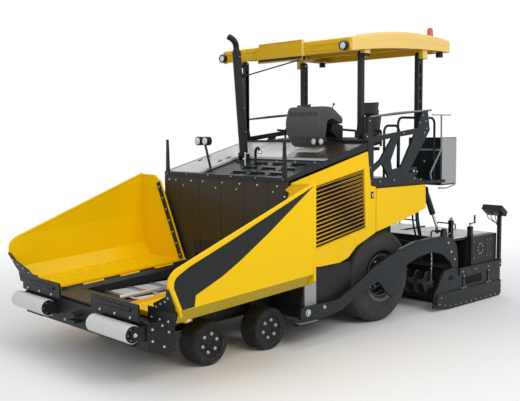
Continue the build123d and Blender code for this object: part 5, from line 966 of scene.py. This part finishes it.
PANEL_TILT = radians(34)
panel_normal = Vector((0, sin(PANEL_TILT), cos(PANEL_TILT)))
panel_down = Vector((0, cos(PANEL_TILT), -sin(PANEL_TILT)))
panel_centre = Vector((1.200, 2.742 - 0.1053, 1.330)) + panel_normal * 0.040


def on_panel(x, y):
    return panel_centre + Vector((x, 0, 0)) + panel_down * y


for side, sign in SIDES:
    gate = Shape(sign)
    gate.studs(1.304, [(y, 0.048 + max(0.0, 1.263 - y) * 0.25) for y in (1.02 + i * 0.136 for i in range(13))], 0.010)
    gate.studs(1.304, ((1.60, 0.508), (1.95, 0.508), (2.30, 0.508), (2.64, 0.508), (2.665, 0.11), (2.665, 0.20),
                       (1.06, 0.20)), 0.011)
    for y in (1.650, 2.330):
        # A spring of 9 turns, 10 points each, wound the same way on both sides
        gate.pipe([(1.295 + sign * 0.0075 * cos(pi * i / 5), y + 0.0075 * sin(pi * i / 5), 0.268 + 0.125 * i / 90)
                   for i in range(91)], 0.0022, bend=0.001, segments=6, slot=1)
        gate.box((1.288, y - 0.080, 0.2645), (1.3035, y + 0.080, 0.2695), slot=1)
        gate.rod((1.295, y, 0.395), (1.295, y, 0.412), 0.0085, slot=1)
        gate.spin([(0, 0.013), (0.006, 0.013), (0.006, 0.006)], (1.297, y, 0.440), OUT, 20, slot=1)
    # Slotted hole near the front upper corner, the springs' ledge and the window over it; hole and window are black
    # sheets of painted shade
    hole = [(y + (0.035 if i < 7 or i > 18 else -0.035), z)
            for i, (_, y, z) in enumerate(circle((0, 1.330, 0.450), 0.030, 24))]
    gate.plate(hole, 1.2835, 1.2850, slot=3)
    gate.plate([(1.30, 0.262), (2.62, 0.262), (2.62, 0.270), (1.30, 0.270)], 1.284, 1.290)
    gate.box((1.2835, 1.72, 0.300), (1.2860, 2.16, 0.420), slot=3)
    # Control panel: face, switches and leads
    gate.panel([on_panel(x, y) for x, y in ((-0.150, -0.088), (0.150, -0.088), (0.150, 0.088), (-0.150, 0.088))],
               panel_normal * -0.003, slot=4)
    for column in range(7):
        for row in range(3):
            gate.spin([(-0.002, 0.011), (-0.0005, 0.010), (-0.0001, 0.006)],
                      on_panel(-0.126 + column * 0.042, -0.055 + row * 0.050), panel_normal, 12,
                      slot=2 if (column + row) % 2 else 1)
    for i, x in enumerate((-0.10, -0.05, 0.04, 0.07)):
        start = on_panel(x, 0.02 * (i % 2)) - panel_normal * 0.080
        gate.pipe([start + panel_normal * 0.01, start + Vector((0, -0.02, -0.08)), (1.270, 2.612, 1.12),
                   (1.272, 2.622, 1.02)], 0.006, bend=0.06, segments=8, slot=2 if i % 2 else 5)
        gate.rod(start + panel_normal * 0.015, start - panel_normal * 0.025, 0.011, 12, slot=1)
    gate.pipe(spots(1.272, ((2.622, 1.06), (2.624, 0.86), (2.624, 0.57))), 0.008, segments=8, slot=5)
    gate.box((1.249, 2.620, 0.563), (1.303, 2.688, 0.575))
    for z in (0.70, 0.90, 1.10):
        gate.box((1.2495, 2.6285, z), (1.3025, 2.6815, z + 0.016))
    gate.build(f"gate_trim_{side}", f"extension_{side}", "dark bolt black void plastic flap", "dark_paint")

# ---- console shell, screed treads and stops

# The head's outline in y and z, and its width: x and size of each section
HEAD = ((-0.790, 2.360), (-0.880, 2.365), (-0.945, 2.480), (-0.960, 2.700), (-0.900, 2.890), (-0.700, 2.885),
        (-0.482, 2.742), (-0.492, 2.655), (-0.700, 2.745), (-0.800, 2.700), (-0.805, 2.480), (-0.740, 2.420))
SECTIONS = ((0.205, 0.955), (0.209, 0.975), (0.220, 0.992), (0.240, 1.0), (0.765, 1.0), (0.785, 0.992),
            (0.796, 0.975), (0.800, 0.955))
HEAD_X = 0.5025
middle = Vector((-0.840, 2.680))
rings = []
for x, size in SECTIONS:
    rings.append([])
    for point in closed_round(HEAD, 0.060):
        y, z = middle + (point - middle) * size
        # The lower half narrows towards the floor
        waist = 1 - 0.22 * min(1, max(0, (2.60 - z) / 0.24))
        rings[-1].append((HEAD_X + (x - HEAD_X) * waist, y, z))
shell = Shape().skin(rings)
# The pedestal, the vents in the front, and the lamps on their bar
shell.plate([(-0.430, 1.870), (-0.320, 1.870), (-0.320, 2.640), (-0.520, 2.700), (-0.560, 2.570), (-0.430, 2.490)],
            0.390, 0.650, slot=1)
for i in range(11):
    x = 0.262 + i * 0.047
    shell.panel([(x, -0.939, 2.7665), (x + 0.018, -0.939, 2.7665), (x + 0.018, -0.923, 2.817), (x, -0.923, 2.817)],
                (0, -0.0028, 0.0009), slot=1)
shell.rod((0.700, -0.920, 2.440), (0.860, -0.920, 2.440), 0.014, slot=1)
shell.rod((0.740, -0.920, 2.440), (0.740, -0.915, 2.560), 0.013, slot=1)
for x in (0.730, 0.858):
    shell.spin([(0, 0.026), (0.004, 0.034), (0.020, 0.045), (0.060, 0.048), (0.062, 0.046)], (x, -0.915, 2.440),
               FRONT, 32, slot=1)
shell.build("console_shell", "chassis", "plastic black", "plastic_dark", replaces=("console",), smooth=50)

BAR_PITCH = 0.055


def tread(shape, x0, x1, y0, y1, z):
    """Chequer plate: a thin sheet with rows of short raised bars, turned every second place."""
    shape.box((x0, y0, z + 0.0002), (x1, y1, z + 0.003))
    # Bars are counted from the machine's right on both sides
    first, step = (x0 + 0.030, BAR_PITCH) if shape.sign > 0 else (x1 - 0.030, -BAR_PITCH)
    for i in range(int((x1 - x0) / BAR_PITCH)):
        for k in range(int((y1 - y0) / BAR_PITCH)):
            x, y = first + i * step, y0 + 0.030 + k * BAR_PITCH
            a, b = (0.017, 0.0035) if (i + k) % 2 else (0.0035, 0.017)
            shape.block((x, y, z + 0.003), a, b, 0.002)


def handle(shape, x0, x1, y, top):
    shape.pipe([(x0, y, 0.990), (x0, y, top), (x1, y, top), (x1, y, 0.990)], 0.011, bend=0.04, slot=1)


steps = Shape()
for i in range(4):
    tread(steps, -1.186 + i * 0.594, -0.598 + i * 0.594, 1.508, 1.884, 0.985)
for steps.sign in (1, -1):
    x, y = 1.120, 1.560
    for z in (0.990, 1.110, 1.222):
        steps.block((x, y, z), 0.030, 0.035, 0.018, slot=1)
    steps.spin([(0, 0.018), (0, 0.030), (0.010, 0.034), (0.020, 0.030), (0.020, 0.018)], (x - 0.010, y, 1.275), OUT,
               28, slot=2, closed=True)
    steps.rod((x, y, 1.238), (x, y, 1.252), 0.012, slot=2)
    steps.bolts([(x, y - 0.030, 1.060), (0.30, 1.420, 0.430), (0.70, 1.420, 0.430), (1.05, 1.420, 0.430)], FRONT,
                0.012, slot=2)
    handle(steps, 1.05, 0.80, 1.53, 1.075)
steps.build("screed_treads", "screed", "plate black bolt", "steel")

for side, sign in SIDES:
    top = Shape(sign)
    tread(top, 0.068, 0.610, 1.912, 2.602, 0.985)
    tread(top, 0.618, 1.150, 1.912, 2.602, 0.985)
    # Round cover with its ring of bolts on the outer side
    top.spin([(0, 0.092), (0.006, 0.090), (0.007, 0.062), (0.004, 0.058), (0.004, TIP)], (1.255, 2.130, 0.790),
             OUT, 40, slot=1)
    top.bolts(circle((1.261, 2.130, 0.790), 0.077, 8, 0.5), OUT, 0.009, slot=2, washer=False)
    for y0, y1 in ((1.93, 1.99), (2.30, 2.46)):
        top.box((1.2552, y0, 0.640), (1.2590, y1, 0.930), slot=1)
    top.studs(1.2590, [(y, z) for y in (1.96, 2.32, 2.44) for z in (0.66, 0.91)], 0.007, slot=2)
    # Crank collar, threaded foot and grip
    top.spin([(0, 0.024), (0.012, 0.024), (0.014, 0.017), (0.034, 0.017)], (1.195, 1.960, 1.136), UP, 24, slot=2)
    for z in (1.00, 1.09):
        top.block((1.195, 1.960, z), 0.034, 0.034, 0.03, slot=1)
    handle(top, 0.20, 0.55, 2.560, 1.070)
    top.build(f"extension_treads_{side}", f"extension_{side}", "plate dark bolt", "steel")

# ---- floor, light and camera

world = bpy.data.worlds.new("studio")
bpy.context.scene.world = world
world.use_nodes = True
world.node_tree.nodes.clear()


def world_node(kind, *sources, **values):
    """A node in the world's tree, with its first inputs joined to the sources."""
    node = world.node_tree.nodes.new(kind)
    for key, value in values.items():
        setattr(node, key, value)
    for source, target in zip(sources, node.inputs):
        world.node_tree.links.new(source, target)
    return node


def background(color, strength):
    node = world_node("ShaderNodeBackground")
    node.inputs["Color"].default_value = color
    node.inputs["Strength"].default_value = strength
    return node.outputs[0]


# Seen straight, through glass or mirrored, the studio is white. Its light on the machine is soft.
rays = world_node("ShaderNodeLightPath").outputs
seen = world_node("ShaderNodeMath", rays["Is Camera Ray"], rays["Is Transmission Ray"], operation="MAXIMUM")
seen = world_node("ShaderNodeMath", seen.outputs[0], rays["Is Glossy Ray"], operation="MAXIMUM")
soft, white = background((0.92, 0.95, 1.0, 1.0), 0.50), background((1.0, 1.0, 1.0, 1.0), 1.0)
either = world_node("ShaderNodeMixShader", seen.outputs[0], soft, white)
world_node("ShaderNodeOutputWorld", either.outputs[0])


def lamp(name, place, target, size, power):
    data = bpy.data.lights.new(name, "AREA")
    data.shape = "RECTANGLE"
    data.size, data.size_y = size
    data.energy = power
    obj = new_object(name, data)
    obj.location = place
    obj.rotation_euler = (Vector(target) - Vector(place)).to_track_quat("-Z", "Y").to_euler()


lamp("key", (9.5, -1.5, 8.0), (0.5, -0.5, 1.4), (6.0, 5.0), 520)
lamp("front", (1.0, -11.0, 6.0), (0.0, -1.5, 1.2), (7.0, 4.0), 170)
lamp("top", (0.0, 0.5, 10.0), (0.0, 0.0, 1.5), (8.0, 8.0), 230)
lamp("rear", (-7.0, 8.0, 6.0), (0.0, 0.0, 1.5), (6.0, 4.0), 120)

# The floor fades from matt grey under the machine to plain white light far out
ground = Tree("studio_floor")
ground.set(Base_Color=(0.88, 0.88, 0.88, 1.0), Roughness=0.9)
glow = ground.add("ShaderNodeEmission")
glow.inputs["Strength"].default_value = 1.0
far = ground.add("ShaderNodeVectorMath", operation="LENGTH")
ground.join(ground.place, far.inputs[0])
blend = ground.add("ShaderNodeMixShader")
for source, target in zip((ground.levels(far.outputs["Value"], 3.0, 8.5), ground.shader.outputs[0], glow.outputs[0]),
                          blend.inputs):
    ground.join(source, target)
ground.join(blend.outputs[0], ground.tree.nodes["Material Output"].inputs["Surface"])
floor_mesh = bpy.data.meshes.new("floor")
floor_mesh.from_pydata([(-60, -60, 0), (60, -60, 0), (60, 60, 0), (-60, 60, 0)], [], [(0, 1, 2, 3)])
floor_mesh.materials.append(ground.material)
floor = new_object("floor", floor_mesh)

# The camera that was fitted to the photo
YAW, PITCH, ROLL = radians(46.8514), radians(4.9912), radians(-0.3452)
PHOTO_WIDTH, FOCAL_PIXELS, SENSOR = 520, 789.137, 36
ahead = Vector((-sin(YAW) * cos(PITCH), cos(YAW) * cos(PITCH), -sin(PITCH)))
level = Vector((cos(YAW), sin(YAW), 0))
above = level.cross(ahead)
right = level * cos(ROLL) + above * sin(ROLL)
upward = above * cos(ROLL) - level * sin(ROLL)
camera = new_object("camera", bpy.data.cameras.new("camera"))
camera.data.sensor_width = SENSOR
camera.data.lens = FOCAL_PIXELS / PHOTO_WIDTH * SENSOR
turned = Matrix((right, upward, -ahead)).transposed().to_4x4()
camera.matrix_world = Matrix.Translation((7.6131, -7.6499, 2.57)) @ turned
bpy.context.scene.camera = camera

bpy.context.scene.view_settings.view_transform = "Standard"
bpy.context.view_layer.update()
